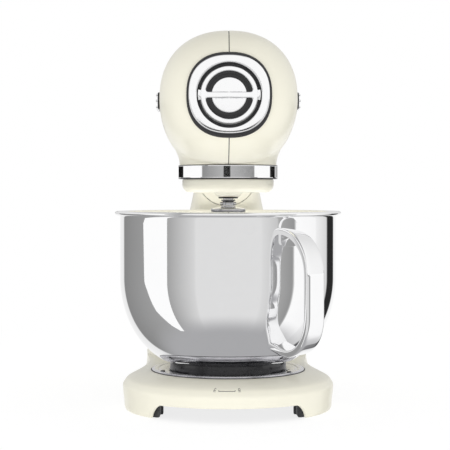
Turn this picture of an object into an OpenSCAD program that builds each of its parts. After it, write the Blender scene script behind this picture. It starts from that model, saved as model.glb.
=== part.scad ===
// Tilt-head stand mixer with a planetary drive, a bayonet bowl and a balloon whisk.
// Y is measured from the bowl's axis inside at_bowl(); the front of the mixer faces -Y.

/* [Base] */
// Radius of the round front of the base
base_r = 106.2; // [98:0.2:112]
// Height of the base's flat top, on which the bowl's seat lies
base_top_z = 38; // [34:1:42]
// Distance from the bowl's axis to the back of the base
base_back = 268; // [258:1:280]
// Height of the arches between the four legs
arch_z = 13.5; // [10:0.5:16]
// Wall of the castings
wall = 3; // [2:0.5:4]

/* [Bowl] */
// Outer radius of the bowl's straight wall
bowl_r = 108.6; // [104:0.2:112]
// Outer radius of the bowl's rolled rim
rim_r = 113.6; // [110:0.2:118]
// Height of the middle of the rolled rim
rim_z = 195.7; // [190:0.1:200]
// Thickness of the bowl's sheet
bowl_t = 1.2; // [0.8:0.1:1.6]
// Angle of the handle to the right of the front
handle_azimuth = 31; // [0:1:60]
// Width of the handle's strap
handle_w = 21; // [16:1:24]

/* [Head] */
// Largest radius of the head
head_r = 68.5; // [66:0.1:70]
// Height of the head's own axis
head_z = 306.6; // [304:0.1:310]
// Distance from the bowl's axis to the back end of the head
head_back = 286; // [276:1:296]
// Radius of the neck over the bowl
neck_r = 48.7; // [47:0.1:50]
// Angle by which the head tilts back
head_tilt_max = 28; // [20:1:30]

/* [Drive] */
// Distance from the bowl's axis to the beater shaft
beater_offset = 24; // [24:1:24]
// Radius of the beater shaft
beater_shaft_r = 5; // [5:0.5:5]
// Travel of the speed knob
speed_travel = 50; // [30:1:50]

/* [Hidden] */

$fn = 64;
bowl_y = -74.1;

// Hinge of the head
pivot_y = 228;
pivot_z = 222;
drum_r = 18;
pin_r = 5;
ear_x = 22.1; // middle of each ear that holds the pin
gap = 0.6;

// Joint between the neck of the head and the top of the column
seam_z = 217;
tongue_r = 32;
tongue_z = 234;
tongue_back = 190;
deck_z = [196.5, 199.5];

// Section of the neck at the seam
neck_half_w = 37.5;
neck_front = 124;
neck_back = 246;

// Band, gears and planetary cover over the bowl
band_r = 49.8;
band_z = [230.1, 243.8];
cover_r = 46;
cover_z = [216.4, 229.6];
boss_z = 212;

// Bowl
bowl_bottom_z = 48.7;
bowl_curve = [40.4, 131.3, 68.2, 88.9]; // centre and half axes of the elliptical lower wall
foot_r = 58.6;
foot_z = 38.4;

// Gears: module, teeth
module_ring = 2;
ring_teeth = 38;
planet_teeth = 14;
module_lay = 1.5;
centre_teeth = 40;
pinion_teeth = 14;
wheel_teeth = 26;
worm_pitch_r = 8;
bevel_teeth = 16;
lay_x = -(module_lay * wheel_teeth / 2 + worm_pitch_r);
lay_distance = module_lay * (centre_teeth + pinion_teeth) / 2;
lay_y = sqrt(lay_distance * lay_distance - lay_x * lay_x);

// Front hub
hub_front = -112;
hub_bore_r = 20;

cream = [0.93, 0.91, 0.82];
chrome = [0.82, 0.83, 0.85];
steel = [0.62, 0.63, 0.65];
dark = [0.13, 0.13, 0.13];

// ---------- shared shapes ----------

module at_bowl() {
    translate([0, bowl_y, 0]) children();
}

function turned(p, a) = [p[0] * cos(a) - p[1] * sin(a), p[0] * sin(a) + p[1] * cos(a)];
function spow(v, p) = sign(v) * pow(abs(v), p);

// Points of a superellipse with half axes a, b and exponent n
function superellipse(a, b, n, count = 48) = [
    for (i = [0:count - 1])
        let (t = 360 * i / count) [a * spow(cos(t), 2 / n), b * spow(sin(t), 2 / n)]
];

// Closed solid through a list of rings, each a list of points in space
module loft(rings) {
    count = len(rings[0]);
    last = len(rings) - 1;
    points = [for (ring = rings) for (p = ring) p];
    sides = [
        for (j = [0:last - 1]) for (i = [0:count - 1])
            let (k = (i + 1) % count)
            each [
                [j * count + i, (j + 1) * count + i, j * count + k],
                [j * count + k, (j + 1) * count + i, (j + 1) * count + k],
            ]
    ];
    bottom = [for (i = [0:count - 1]) i];
    top = [for (i = [count - 1:-1:0]) last * count + i];
    polyhedron(points = points, faces = concat(sides, [bottom, top]), convexity = 6);
}

// Cylinder along Y from y0 to y1, with its axis at height z
module y_cylinder(r, y0, y1, z = head_z, x = 0) {
    translate([x, y0, z]) rotate([-90, 0, 0]) cylinder(r = r, h = y1 - y0);
}

// Cylinder along X between -half and half, through the point y, z
module x_cylinder(r, half, y, z) {
    translate([-half, y, z]) rotate([0, 90, 0]) cylinder(r = r, h = 2 * half);
}

module tube(r_out, r_in, z0, z1) {
    translate([0, 0, z0])
        difference() {
            cylinder(r = r_out, h = z1 - z0);
            translate([0, 0, -1]) cylinder(r = r_in, h = z1 - z0 + 2);
        }
}

module y_tube(r_out, r_in, y0, y1) {
    difference() {
        y_cylinder(r_out, y0, y1);
        y_cylinder(r_in, y0 - 1, y1 + 1);
    }
}

// Box given by its lowest and highest corners
module block(low, high) {
    translate(low) cube(high - low);
}

// ---------- gears ----------

function involute(a) = tan(a) * 180 / PI - a;

// Half of a tooth's angle at radius r, for pitch radius rp and the slack cut from each flank
function half_tooth(r, rp, teeth, slack) =
    let (rb = rp * cos(20), a = acos(min(1, rb / max(r, rb))))
    90 / teeth - slack / rp * 180 / PI + involute(20) - involute(a);

function gear_points(m, teeth, slack, add = 0.9, ded = 1.2) =
    let (rp = m * teeth / 2, radii = [rp - ded * m, rp, rp + add * m])
    [
        for (i = [0:teeth - 1]) each concat(
            [for (r = radii) let (t = 360 * i / teeth - half_tooth(r, rp, teeth, slack)) [r * cos(t), r * sin(t)]],
            [for (k = [2:-1:0]) let (r = radii[k], t = 360 * i / teeth + half_tooth(r, rp, teeth, slack))
                [r * cos(t), r * sin(t)]]
        )
    ];

module spur_gear(m, teeth, z0, z1, bore, slack = 0.12, turn = 0) {
    difference() {
        translate([0, 0, z0]) rotate(turn) linear_extrude(z1 - z0) polygon(gear_points(m, teeth, slack));
        translate([0, 0, z0 - 1]) cylinder(r = bore, h = z1 - z0 + 2);
    }
}

// Bevel gear with a 45 degree pitch cone whose apex is at the origin and whose teeth lie below it
module bevel(teeth_r, width, turn) {
    translate([0, 0, -teeth_r])
        linear_extrude(height = width, scale = (teeth_r - width) / teeth_r)
            rotate(turn) polygon(gear_points(2 * teeth_r / bevel_teeth, bevel_teeth, 0.3, 0.85, 1.15));
}

// ---------- base ----------

function smooth(t) = let (c = min(1, max(0, t))) c * c * (3 - 2 * c);

// Half of the plan outline of the base as [x, y], from the front round the right side to the back.
// The front is an arc of radius r about the bowl's axis. The side eases within reach to its waist, widens by
// flare towards the back, and the back is closed by a superellipse.
function half_plan(r, side, back, corner, reach, flare, count = 14) = concat(
    [for (i = [0:count]) let (t = -90 + 90 * i / count) [r * cos(t), r * sin(t)]],
    [for (i = [1:6]) let (y = (back - corner) * i / 6)
        [r + (side - flare - r) * smooth(y / reach) + flare * smooth((y - 95) / 110), y]],
    [for (i = [1:8]) let (t = 90 * i / 8) [side * spow(cos(t), 0.8), back - corner + corner * spow(sin(t), 0.8)]]
);

function whole_plan(half) = concat(half, [for (i = [len(half) - 2:-1:1]) [-half[i][0], half[i][1]]]);

plan_low = whole_plan(half_plan(base_r, 90.5, base_back, 58, 85, 2.5));
plan_top = whole_plan(half_plan(77.6, 89.8, base_back - 6, 58, 180, 0));

// One level of the base: share is 0 at the skirt's outline and 1 at the edge of the flat top
function base_ring(share, inset, z) = [
    for (i = [0:len(plan_low) - 1])
        let (p = plan_low[i] * (1 - share) + plan_top[i] * share, q = [p[0], p[1] - 40], d = norm(q))
        [p[0] - q[0] * inset / d, p[1] - q[1] * inset / d, z]
];

// Share of the way in from the skirt to the flat top, at each height of the outside
base_levels = [[0.03, 0.8], [0.012, 8], [0, 18], [0, 22], [0.05, 26.5], [0.14, 29.5], [0.34, 32.6], [0.68, 35.8], [0.98, 38]];

module base_outside() {
    loft([for (level = base_levels) base_ring(level[0], 0, level[1] * base_top_z / 38)]);
}

module base_inside() {
    rings = [[0, -2], [0, 22], [0.14, 26.5], [0.4, 30], [0.9, 34]];
    loft([for (level = rings) base_ring(level[0], wall, level[1])]);
}

// Slot under the skirt, between two legs, with rounded upper corners
module arch(width) {
    corner = 9;
    rotate([90, 0, 0]) linear_extrude(140) {
        translate([-width / 2 + corner, -5]) square([width - 2 * corner, arch_z + 5]);
        translate([-width / 2, -5]) square([width, arch_z + 5 - corner]);
        for (side = [-1, 1]) translate([side * (width / 2 - corner), arch_z - corner]) circle(corner);
    }
}

module base_casting() {
    color(cream) at_bowl() difference() {
        base_outside();
        base_inside();
        arch(149);
        translate([0, 190, 0]) mirror([0, 1, 0]) arch(118);
        for (side = [-1, 1]) translate([0, 105, 0]) rotate(90 * side) arch(138);
        translate([0, 0, 30]) cylinder(r = 62.5, h = 20);
        block([-18, 140, 30], [18, 210, 50]);
        y_cylinder(7, base_back - 20, base_back + 10, z = 23);
    }
}

module bottom_plate() {
    color(dark) at_bowl() difference() {
        translate([0, 0, arch_z + 0.3])
            linear_extrude(2) polygon([for (p = base_ring(0, wall + 1.5, 0)) [p[0], p[1]]]);
        for (p = foot_places) translate([p[0], p[1], 0]) cylinder(r = 2.2, h = 30);
    }
}

// Front feet follow the round skirt, with their inner ends cut square to the front; rear feet are round
front_foot_r = [80, 100];
front_foot_turn = 55;
front_foot_ends = [66.5, 64.5]; // distance of the inner end from the middle, and angle of the outer end
foot_places = [
    for (side = [-1, 1]) [side * 90 * sin(front_foot_turn), -90 * cos(front_foot_turn)],
    for (side = [-1, 1]) [side * 71.6, 214],
];

module front_foot(side) {
    inner = front_foot_ends[0];
    depth = inner / tan(front_foot_ends[1]);
    intersection() {
        tube(front_foot_r[1], front_foot_r[0], 0, arch_z);
        linear_extrude(arch_z)
            polygon([[side * inner, -depth], [side * inner, -110], [side * 2 * inner, -110], [side * 2 * inner, -2 * depth]]);
    }
}

module rear_foot(p) {
    translate([p[0], p[1], 0]) {
        cylinder(r1 = 13.5, r2 = 15, h = 4);
        translate([0, 0, 4]) cylinder(r = 15, h = arch_z - 4);
    }
}

module rubber_feet() {
    color(dark) at_bowl() difference() {
        union() {
            for (side = [-1, 1]) front_foot(side);
            for (p = [foot_places[2], foot_places[3]]) rear_foot(p);
        }
        for (p = foot_places) translate([p[0], p[1], -1]) {
            cylinder(r = 4.5, h = 5);
            cylinder(r = 2.2, h = 40);
        }
    }
}

module bottom_screws() {
    color(steel) at_bowl() for (p = foot_places) translate([p[0], p[1], 0]) {
        translate([0, 0, 1.2]) cylinder(r = 4, h = 2.8);
        translate([0, 0, 4]) cylinder(r = 2, h = 18);
    }
}

// Bayonet ring: three lugs on the bowl's foot turn under the lip between three notches
lug_r = 61.2;
lip_r = 59.2;
lug_arc = 24;
seat_screw_r = 72;
seat_screw_turn = 86;

module sector(r, arc, h) {
    steps = 6;
    linear_extrude(h) polygon(concat(
        [[0, 0]],
        [for (i = [0:steps]) let (t = -arc / 2 + arc * i / steps) [r * cos(t), r * sin(t)]]
    ));
}

module bowl_seat_ring() {
    color(chrome) at_bowl() difference() {
        rotate_extrude() polygon([
            [lip_r, base_top_z - 1.5], [lip_r, base_top_z + 0.4], [64, base_top_z + 1.1],
            [74.5, base_top_z + 1.8], [76.6, base_top_z + 1.2], [77.2, base_top_z], [62, base_top_z],
            [62, base_top_z - 1.5],
        ]);
        for (i = [0:2]) rotate(120 * i - 90 + handle_azimuth + 32)
            translate([0, 0, base_top_z - 5]) sector(lug_r + 0.5, lug_arc + 4, 12);
        for (i = [0:2]) rotate(120 * i + seat_screw_turn) translate([seat_screw_r, 0, 30]) cylinder(r = 1.7, h = 20);
    }
}

module seat_screws() {
    color(steel) at_bowl() for (i = [0:2]) rotate(120 * i + seat_screw_turn) translate([seat_screw_r, 0, 0]) {
        translate([0, 0, base_top_z + 1.85]) cylinder(r = 2.5, h = 1.2);
        translate([0, 0, base_top_z + 0.1]) cylinder(r = 1.5, h = 1.8);
    }
}

// ---------- column ----------

function column_half_w(z) = let (h = 215 - z) neck_half_w + 0.2 * h + 5.85e-4 * h * h;
function column_front(z) = neck_front - 26 * pow(max(0, (150 - z) / 105), 2);
function column_back(z) = neck_back + 0.6 + 15 * pow(max(0, (210 - z) / 165), 1.2);

function column_ring(z, inset) =
    let (
        front = column_front(z) + inset,
        back = column_back(z) - inset,
        n = 5 - 1.8 * smooth((200 - z) / 150)
    )
    [for (p = superellipse(min(88.6, column_half_w(z)) - inset, (back - front) / 2, n))
        [p[0], p[1] + (front + back) / 2, z]];

column_steps = 10;
function column_z(i, z0, z1) = z0 + (z1 - z0) * i / column_steps;

module column() {
    color(cream) at_bowl() difference() {
        loft([for (i = [0:column_steps]) column_ring(column_z(i, base_top_z, 220), 0)]);
        loft([for (i = [0:column_steps]) column_ring(column_z(i, base_top_z - 1, deck_z[0]), wall + 1)]);
        loft([for (i = [0:2]) column_ring(deck_z[1] + 11 * i, wall + 1)]);
        block([-60, 100, seam_z - gap], [60, 260, 240]);
        y_cylinder(tongue_r + gap, 100, tongue_back + gap + 1, tongue_z);
        x_cylinder(drum_r + gap, 60, pivot_y, pivot_z);
        block([-60, pivot_y, 211], [60, 260, 240]);
        block([-9, 148, 190], [9, 172, 202]);
        for (side = [-1, 1]) block([side * ear_x - 4.1, pivot_y - 10.1, 190], [side * ear_x + 4.1, pivot_y + 2.6, 210]);
        translate([-20, 206, 190]) cylinder(r = 2.4, h = 20);
        y_cylinder(12, 230, 262, button_z);
    }
}

// Bracket inside the column: two ears carry the hinge pin and a guide holds the button's stem
module hinge_cradle() {
    color(steel) at_bowl() difference() {
        union() {
            for (side = [-1, 1]) {
                translate([side * ear_x - 3.5, pivot_y, pivot_z]) rotate([0, 90, 0]) cylinder(r = 9.5, h = 7);
                block([side * ear_x - 3.5, pivot_y - 9.5, 172], [side * ear_x + 3.5, pivot_y + 2, pivot_z]);
                block([side * 25 - 4, 168, base_top_z], [side * 25 + 4, 186, 172]);
            }
            block([-29, 160, 172], [29, pivot_y + 6, 176]);
            block([-9, 217, 176], [9, 221, button_z + 8]);
        }
        x_cylinder(pin_r, 40, pivot_y, pivot_z);
        y_cylinder(stem_r + 0.3, 210, 230, button_z);
    }
}

module hinge_pin() {
    color(steel) at_bowl() x_cylinder(pin_r, ear_x + 3.5, pivot_y, pivot_z);
}

module cord_gland() {
    color(dark) at_bowl() difference() {
        union() {
            y_cylinder(6.9, base_back - 12, base_back + 1, z = 23);
            y_cylinder(9, base_back + 1, base_back + 4, z = 23);
        }
        y_cylinder(3.6, base_back - 20, base_back + 10, z = 23);
    }
}

button_z = 184;
button_travel = 4;
stem_r = 3;

module button_bezel() {
    color(chrome) at_bowl() difference() {
        union() {
            y_cylinder(11.8, 240, 250, button_z);
            y_cylinder(14, 249.2, 251.5, button_z);
        }
        y_cylinder(9.3, 230, 260, button_z);
    }
}

// Microswitch that cuts the motor when the head is up
module tilt_switch() {
    color(dark) at_bowl() {
        block([-26, 196, 176.2], [-14, 216, 190]);
        translate([-20, 206, 190]) cylinder(r = 2, h = seam_z - 190.5);
    }
}

// ---------- head ----------

nose_y = -45;
tail_y = 60;

// Radius of the head at distance y from the bowl's axis
function head_radius(y, r) =
    y < nose_y ? r * pow(1 - pow((nose_y - y) / 75.5, 2.6), 1 / 2.1)
    : y <= tail_y ? r
    : r * sqrt(max(0, 1 - pow((y - tail_y) / (head_back - tail_y), 2.4)));

nose_steps = 9;
tail_steps = 14;
head_stations = concat(
    [for (i = [0:nose_steps]) nose_y - (nose_y - hub_front) * cos(90 * i / nose_steps)],
    [for (i = [0:tail_steps - 1]) tail_y + (head_back - tail_y) * sin(90 * i / tail_steps)]
);

// Body of revolution of the head, made smaller by inset
module head_body(inset) {
    last = head_back - inset;
    translate([0, 0, head_z]) rotate([-90, 0, 0]) rotate_extrude($fn = 96)
        polygon(concat(
            [[0, hub_front - (inset > 0 ? 1 : 0)]],
            [for (y = head_stations) [head_radius(y, head_r) - inset, y - (y == hub_front && inset > 0 ? 1 : 0)]],
            [[0, last]]
        ));
}

// Share of the head's radius that is left below its middle at y, where the underside rises to the nose
function belly_share(y) = pow(1 - pow((12 - y) / 135, 1.6), 0.31);

belly_lift = 30;
belly_stations = [-113, -108, -103, -96, -87, -76, -63, -50, -36];

// All that lies under the front of the head
module under_belly(inset) {
    difference() {
        block([-80, -114, 220], [80, -36, head_z - 12]);
        translate([0, 0, head_z + belly_lift]) rotate([-90, 0, 0]) rotate_extrude($fn = 96) polygon(concat(
            [[0, -115], [belly_lift + head_r * belly_share(-113) - inset, -115]],
            [for (y = belly_stations) [belly_lift + head_r * belly_share(y) - inset, y]],
            [[belly_lift + head_r * belly_share(-36) - inset, -35], [0, -35]]
        ));
    }
}

module neck_section(inset, z0, z1) {
    translate([0, (neck_front + neck_back) / 2, z0]) linear_extrude(z1 - z0)
        polygon(superellipse(neck_half_w - inset, (neck_back - neck_front) / 2 - inset, 5));
}

module head_outside() {
    difference() {
        head_body(0);
        translate([0, 0, 200]) cylinder(r = band_r + 0.3, h = band_z[1] - 200);
        under_belly(0);
    }
    translate([0, 0, band_z[1]]) cylinder(r = neck_r, h = 50);
    difference() {
        neck_section(0, seam_z, head_z - 20);
        block([-60, pivot_y, 200], [60, 260, pivot_z]);
    }
    intersection() {
        neck_section(0, 200, head_z - 40);
        x_cylinder(drum_r, 60, pivot_y, pivot_z);
    }
    intersection() {
        neck_section(0, 200, seam_z + 5);
        y_cylinder(tongue_r, neck_front - 1, tongue_back, tongue_z);
    }
}

module head_inside() {
    difference() {
        head_body(wall);
        translate([0, 0, 200]) cylinder(r = band_r + 0.3 + wall, h = band_z[1] + wall - 200);
        under_belly(wall);
    }
    translate([0, 0, band_z[1] - 1]) cylinder(r = neck_r - wall, h = 50);
    neck_section(wall, pivot_z + 2, head_z - 20);
    intersection() {
        neck_section(wall, 200, seam_z + 10);
        y_cylinder(tongue_r - wall, neck_front, tongue_back - wall, tongue_z);
    }
    x_cylinder(drum_r - 4, ear_x + 4.4, pivot_y, pivot_z);
    // Slots in which the drum swings past the two uprights of the cradle
    for (side = [-1, 1]) translate([side * ear_x - 4.1, pivot_y, pivot_z]) rotate([90, 0, 90])
        linear_extrude(8.2) polygon([
            [-10.1, 0], [-10.1, -25], turned([2.6, -30], head_tilt_max), turned([2.6, 0], head_tilt_max),
        ]);
    block([-6.4, 156.6, 200], [6.4, 163.4, 206]);
    y_cylinder(34, hub_front - 5, hub_front + 20);
    speed_slot();
}

module speed_slot() {
    block([-3.4, slide_from - 6, 350], [3.4, slide_from + speed_travel + 6, 400]);
}

module head_half(side) {
    intersection() {
        difference() {
            head_outside();
            head_inside();
        }
        translate([side > 0 ? 0.2 : -100.2, -150, 190]) cube([100, 480, 220]);
    }
}

module head_shell_left() {
    color(cream) at_bowl() head_half(-1);
}

module head_shell_right() {
    color(cream) at_bowl() head_half(1);
}

// Cast frame inside the head: it carries the gears, the motor and the hinge
post_places = [[37, 4], [-37, -10], [12, 37]];
upper_plate_z = [279, 283];

module gear_frame() {
    color(steel) at_bowl() difference() {
        union() {
            translate([0, 0, 246.2]) cylinder(r = 45.3, h = 6);
            for (p = post_places) translate([p[0], p[1], 250]) cylinder(r = 4, h = 31);
            translate([0, 0, upper_plate_z[0]]) linear_extrude(4) {
                circle(16);
                translate([lay_x, lay_y]) circle(9);
                polygon([[-10, 12], [-37, -6], [-33, -14], [10, -12], [41, 1], [38, 8], [16, 41], [6, 40], [lay_x, lay_y + 9]]);
                translate([-8, -58]) square([16, 50]);
                for (p = post_places) translate(p) circle(5);
            }
            block([-21, 30, 247], [21, 200, 252.2]);
            block([-9, 190, 236], [9, 224, 252.2]);
            for (y = [48, 150]) block([-16, y, 251], [16, y + 6, 268.2]);
            block([-20, 72, 251], [20, 102, head_z - 38]);
            block([-18, 168.4, 251], [18, 172, 282]);
            x_cylinder(9.5, 18, pivot_y, pivot_z);
            block([-18, 216, pivot_z], [18, 232, 240]);
            block([-21, 190, 238], [21, 232, 252.2]);
        }
        translate([0, 0, 240]) cylinder(r = 13, h = 20);
        translate([0, 0, 270]) cylinder(r = 11, h = 20);
        for (z = [240, 275]) translate([lay_x, lay_y, z]) cylinder(r = 4.05, h = 15);
        x_cylinder(pin_r + 0.05, 40, pivot_y, pivot_z);
    }
}

module shaft_bearings() {
    color(steel) at_bowl() {
        tube(13, 6.05, 246.6, 252);
        tube(11, 6.05, 279.2, 282.8);
    }
}

module ring_gear() {
    color(steel) at_bowl() {
        difference() {
            translate([0, 0, 230.6]) cylinder(r = 45.3, h = 10);
            translate([0, 0, 229])
                linear_extrude(20) polygon(gear_points(module_ring, ring_teeth, -0.12, 1.2, 0.85));
        }
        tube(45.3, 42.5, 240.6, 246.2);
    }
}

module neck_band() {
    color(chrome) at_bowl() translate([0, 0, band_z[0]]) rotate_extrude($fn = 96) polygon([
        [45.6, 0], [band_r - 0.6, 0], [band_r, 0.6], [band_r, 13.1], [band_r - 0.6, 13.7], [45.6, 13.7],
    ]);
}

module hub_bezel() {
    color(chrome) at_bowl() translate([0, hub_front, head_z]) rotate([90, 0, 0]) difference() {
        union() {
            linear_extrude(1.6) polygon(superellipse(39.9, 39.1, 2.35));
            translate([0, 0, 1.6]) linear_extrude(1.2) polygon(superellipse(38.6, 37.8, 2.35));
            translate([0, 0, -3]) cylinder(r = 33.8, h = 4);
        }
        translate([0, 0, -5]) cylinder(r = 29.7, h = 12);
    }
}

// Socket that an attachment plugs into, behind the cap
module attachment_hub() {
    color(steel) at_bowl() {
        y_tube(29.2, hub_bore_r, hub_front + 3, -66);
        y_tube(29.2, 5.1, -66, -58);
    }
}

module trim_ribs(side) {
    intersection() {
        difference() {
            y_cylinder(head_r + 3, -38, 56);
            y_cylinder(head_r + 0.02, -39, 57);
        }
        for (z = [-6, 0, 6]) block([side > 0 ? 50 : -90, -38 + abs(z), head_z + z - 1.8],
            [side > 0 ? 90 : -50, 56 - abs(z) * 3, head_z + z + 1.8]);
    }
}

module trim_left() {
    color(chrome) at_bowl() trim_ribs(-1);
}

module trim_right() {
    color(chrome) at_bowl() trim_ribs(1);
}

// Hook under the head's tongue, and the button's plate whose window it hangs in
latch_z = [190, 193];

module latch_strike() {
    color(steel) at_bowl() {
        block([-6, 156.8, 205.8], [6, 172, 208.4]);
        block([-6, 160, 186.4], [6, 163, 205.8]);
        block([-6, 157.2, 186.4], [6, 160, 189.4]);
    }
}

// Speed control on top of the head
slide_from = 78;
slide_drop = head_radius(slide_from, head_r) - head_radius(slide_from + speed_travel, head_r);
slide_slope = atan2(slide_drop, speed_travel);
slide_start = [0, slide_from, head_z + head_radius(slide_from, head_r)];

module along_slide() {
    translate(slide_start) rotate([-slide_slope, 0, 0]) children();
}

module speed_plate() {
    color(chrome) at_bowl() difference() {
        intersection() {
            translate([0, 0, 0.9]) head_body(0);
            translate([0, 0, 300]) linear_extrude(100) {
                translate([-13, slide_from - 8]) square([26, speed_travel + 16]);
                for (y = [slide_from - 8, slide_from + speed_travel + 8]) translate([0, y]) circle(13);
            }
        }
        translate([0, 0, 0.02]) head_body(0);
        speed_slot();
    }
}

module speed_knob() {
    color(chrome) at_bowl() along_slide() {
        translate([0, 0, 1.8]) cylinder(r = 7.5, h = 2.2);
        translate([0, 0, 4]) cylinder(r1 = 5.5, r2 = 6.5, h = 5.5);
        translate([0, 0, -9]) cylinder(r = 2.8, h = 10.9);
        block([-9, -7, -13], [9, 7, -9]);
    }
}

module speed_potentiometer() {
    color(dark) at_bowl() along_slide() difference() {
        block([-11, -12, -21], [11, speed_travel + 12, -5]);
        block([-9.4, -7.5, -13.4], [9.4, speed_travel + 7.5, 0]);
    }
}

// ---------- motor and drive ----------

worm_y = [lay_y - 9, lay_y + 9];
motor_shaft_r = 4;

module motor_stator() {
    color([0.45, 0.45, 0.47]) at_bowl() difference() {
        intersection() {
            y_cylinder(40, 64, 110);
            block([-34, 60, head_z - 38], [34, 120, head_z + 38]);
        }
        y_cylinder(23.3, 60, 120);
    }
    color([0.75, 0.42, 0.2]) at_bowl() for (side = [-1, 1]) {
        for (y = [58.4, 110]) block([-20, y, head_z + side * 30 - 4], [20, y + 5.6, head_z + side * 30 + 4]);
    }
}

module motor_brackets() {
    color(steel) at_bowl() {
        for (y = [50, 152]) difference() {
            union() {
                y_cylinder(14, y, y + 5);
                block([-14, y, 268.2], [14, y + 5, head_z]);
            }
            y_cylinder(motor_shaft_r + 0.05, y - 1, y + 8);
        }
    }
}

module motor_rotor() {
    color(steel) at_bowl() {
        y_cylinder(motor_shaft_r, lay_y + 9, 160);
        difference() {
            y_cylinder(22.5, 66, 108);
            for (i = [0:11]) translate([0, 0, head_z]) rotate([0, 30 * i, 0]) block([-1.2, 60, 18], [1.2, 120, 24]);
            y_cylinder(motor_shaft_r - 0.5, 60, 120);
        }
        y_tube(12, motor_shaft_r - 0.5, 118, 134);
    }
}

module motor_fan() {
    color(dark) at_bowl() {
        y_tube(7, motor_shaft_r, 140, 148);
        for (i = [0:8]) translate([0, 0, head_z]) rotate([0, 40 * i, 0]) rotate([0, 0, 0])
            translate([0, 144, 6.6]) rotate([0, 0, 35]) block([-1, -6, 0], [1, 6, 26]);
    }
}

module brush_holders() {
    color([0.6, 0.45, 0.2]) at_bowl() for (side = [0, 1]) mirror([side, 0, 0]) {
        block([12.4, 121, head_z - 5], [34, 131, head_z + 5]);
        block([30, 110, head_z - 5], [34, 122, head_z + 5]);
    }
}

module control_board() {
    color([0.1, 0.35, 0.2]) at_bowl() {
        block([-34, 172, head_z - 30], [34, 173.6, head_z + 30]);
        block([-24, 173.6, head_z - 20], [-6, 186, head_z + 4]);
        translate([14, 173.6, head_z + 8]) rotate([-90, 0, 0]) cylinder(r = 8, h = 18);
        block([4, 173.6, head_z - 24], [26, 178, head_z - 8]);
    }
}

// Single-start worm: its transverse section turned through one turn per lead
module worm() {
    lead = module_lay * PI;
    tip = worm_pitch_r + 0.85 * module_lay;
    root = worm_pitch_r - 1.25 * module_lay;
    length = worm_y[1] - worm_y[0];
    function radius(t) =
        let (a = abs(t - 180) / 180)
        a < 0.16 ? tip : a < 0.44 ? tip + (root - tip) * (a - 0.16) / 0.28 : root;
    color(steel) at_bowl() translate([0, worm_y[0], head_z]) rotate([-90, 0, 0]) rotate(180 - 180 * length / lead)
        linear_extrude(height = length, twist = -360 * length / lead, slices = 40, segments = 16)
            polygon([for (i = [0:15]) let (t = 22.5 * i) [radius(t) * cos(t), radius(t) * sin(t)]]);
}

module layshaft() {
    color(steel) at_bowl() translate([lay_x, lay_y, 246.6]) cylinder(r = 4, h = 68);
}

module worm_wheel() {
    color([0.75, 0.6, 0.3]) at_bowl() translate([lay_x, lay_y, 0])
        spur_gear(module_lay, wheel_teeth, head_z - 3, head_z + 3, 4, slack = 0.42, turn = wheel_turn);
}

wheel_turn = 0;
pinion_turn = 0;

module lay_pinion() {
    color(steel) at_bowl() translate([lay_x, lay_y, 0])
        spur_gear(module_lay, pinion_teeth, 262, 270, 4, turn = pinion_turn);
}

// The centre gear has a tooth gap where the pinion has a tooth
mesh_angle = atan2(lay_y, lay_x);
centre_turn = mesh_angle + 180 / centre_teeth + (pinion_turn - mesh_angle - 180) * -pinion_teeth / centre_teeth;

module centre_gear() {
    color(steel) at_bowl() spur_gear(module_lay, centre_teeth, 262, 270, 6, turn = centre_turn);
}

module main_shaft() {
    color(steel) at_bowl() {
        translate([0, 0, carrier_z]) cylinder(r = 6, h = 78);
        tube(9, 6, 253, 262);
    }
}

bevel_r = 16;

module bevel_gear() {
    color(steel) at_bowl() difference() {
        translate([0, 0, head_z]) bevel(bevel_r, 7, 0);
        translate([0, 0, 280]) cylinder(r = 6, h = 40);
    }
}

module hub_drive() {
    color(steel) at_bowl() {
        translate([0, 0, head_z]) rotate([-90, 0, 0]) bevel(bevel_r, 7, 180 / bevel_teeth);
        y_cylinder(5, -68, -16);
        difference() {
            y_cylinder(10, -84, -68);
            block([-4.5, -85, head_z - 4.5], [4.5, -70, head_z + 4.5]);
        }
    }
}

carrier_z = cover_z[0] + 2.8;

module planet_carrier() {
    color(steel) at_bowl() difference() {
        union() {
            translate([0, 0, carrier_z]) cylinder(r = 40.2, h = 4);
            translate([0, 0, carrier_z]) cylinder(r = 13, h = 10);
            translate([0, -beater_offset, carrier_z]) cylinder(r = 12, h = 10);
        }
        translate([0, 0, 210]) cylinder(r = 6, h = 30);
        translate([0, -beater_offset, 210]) cylinder(r = 7.5, h = 30);
        for (x = [-24, 24]) translate([x, 10, 210]) cylinder(r = 9, h = 30);
    }
}

module planetary_cover() {
    color(cream) at_bowl() difference() {
        union() {
            translate([0, 0, cover_z[0]]) rotate_extrude($fn = 96) polygon(concat(
                [[0, 0]],
                [for (i = [0:6]) let (t = -90 + 15 * i) [cover_r - 7.5 + 7.5 * cos(t), 7.5 + 7.5 * sin(t)]],
                [[cover_r, 13.2], [cover_r - 2.6, 13.2], [cover_r - 2.6, 8], [cover_r - 5.5, 2.8], [0, 2.8]]
            ));
            translate([0, -beater_offset, boss_z]) rotate_extrude() polygon([
                [0, 0], [10.5, 0], [13.1, 2.4], [13.1, 6], [0, 6],
            ]);
        }
        translate([0, -beater_offset, 200]) cylinder(r = 7.5, h = 40);
    }
}

module beater_bush() {
    color([0.7, 0.5, 0.25]) at_bowl() translate([0, -beater_offset, 0]) tube(7.5, beater_shaft_r + 0.04, 212.1, 229.2);
}

module beater_shaft() {
    color(steel) at_bowl() translate([0, -beater_offset, 195.5]) difference() {
        cylinder(r = beater_shaft_r, h = 47);
        translate([-20, 0, 10]) rotate([0, 90, 0]) cylinder(r = 1.5, h = 40);
    }
}

module planet_gear() {
    color(steel) at_bowl() translate([0, -beater_offset, 0])
        spur_gear(module_ring, planet_teeth, 231, 239.5, beater_shaft_r, turn = planet_turn);
}

planet_turn = 0;

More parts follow.
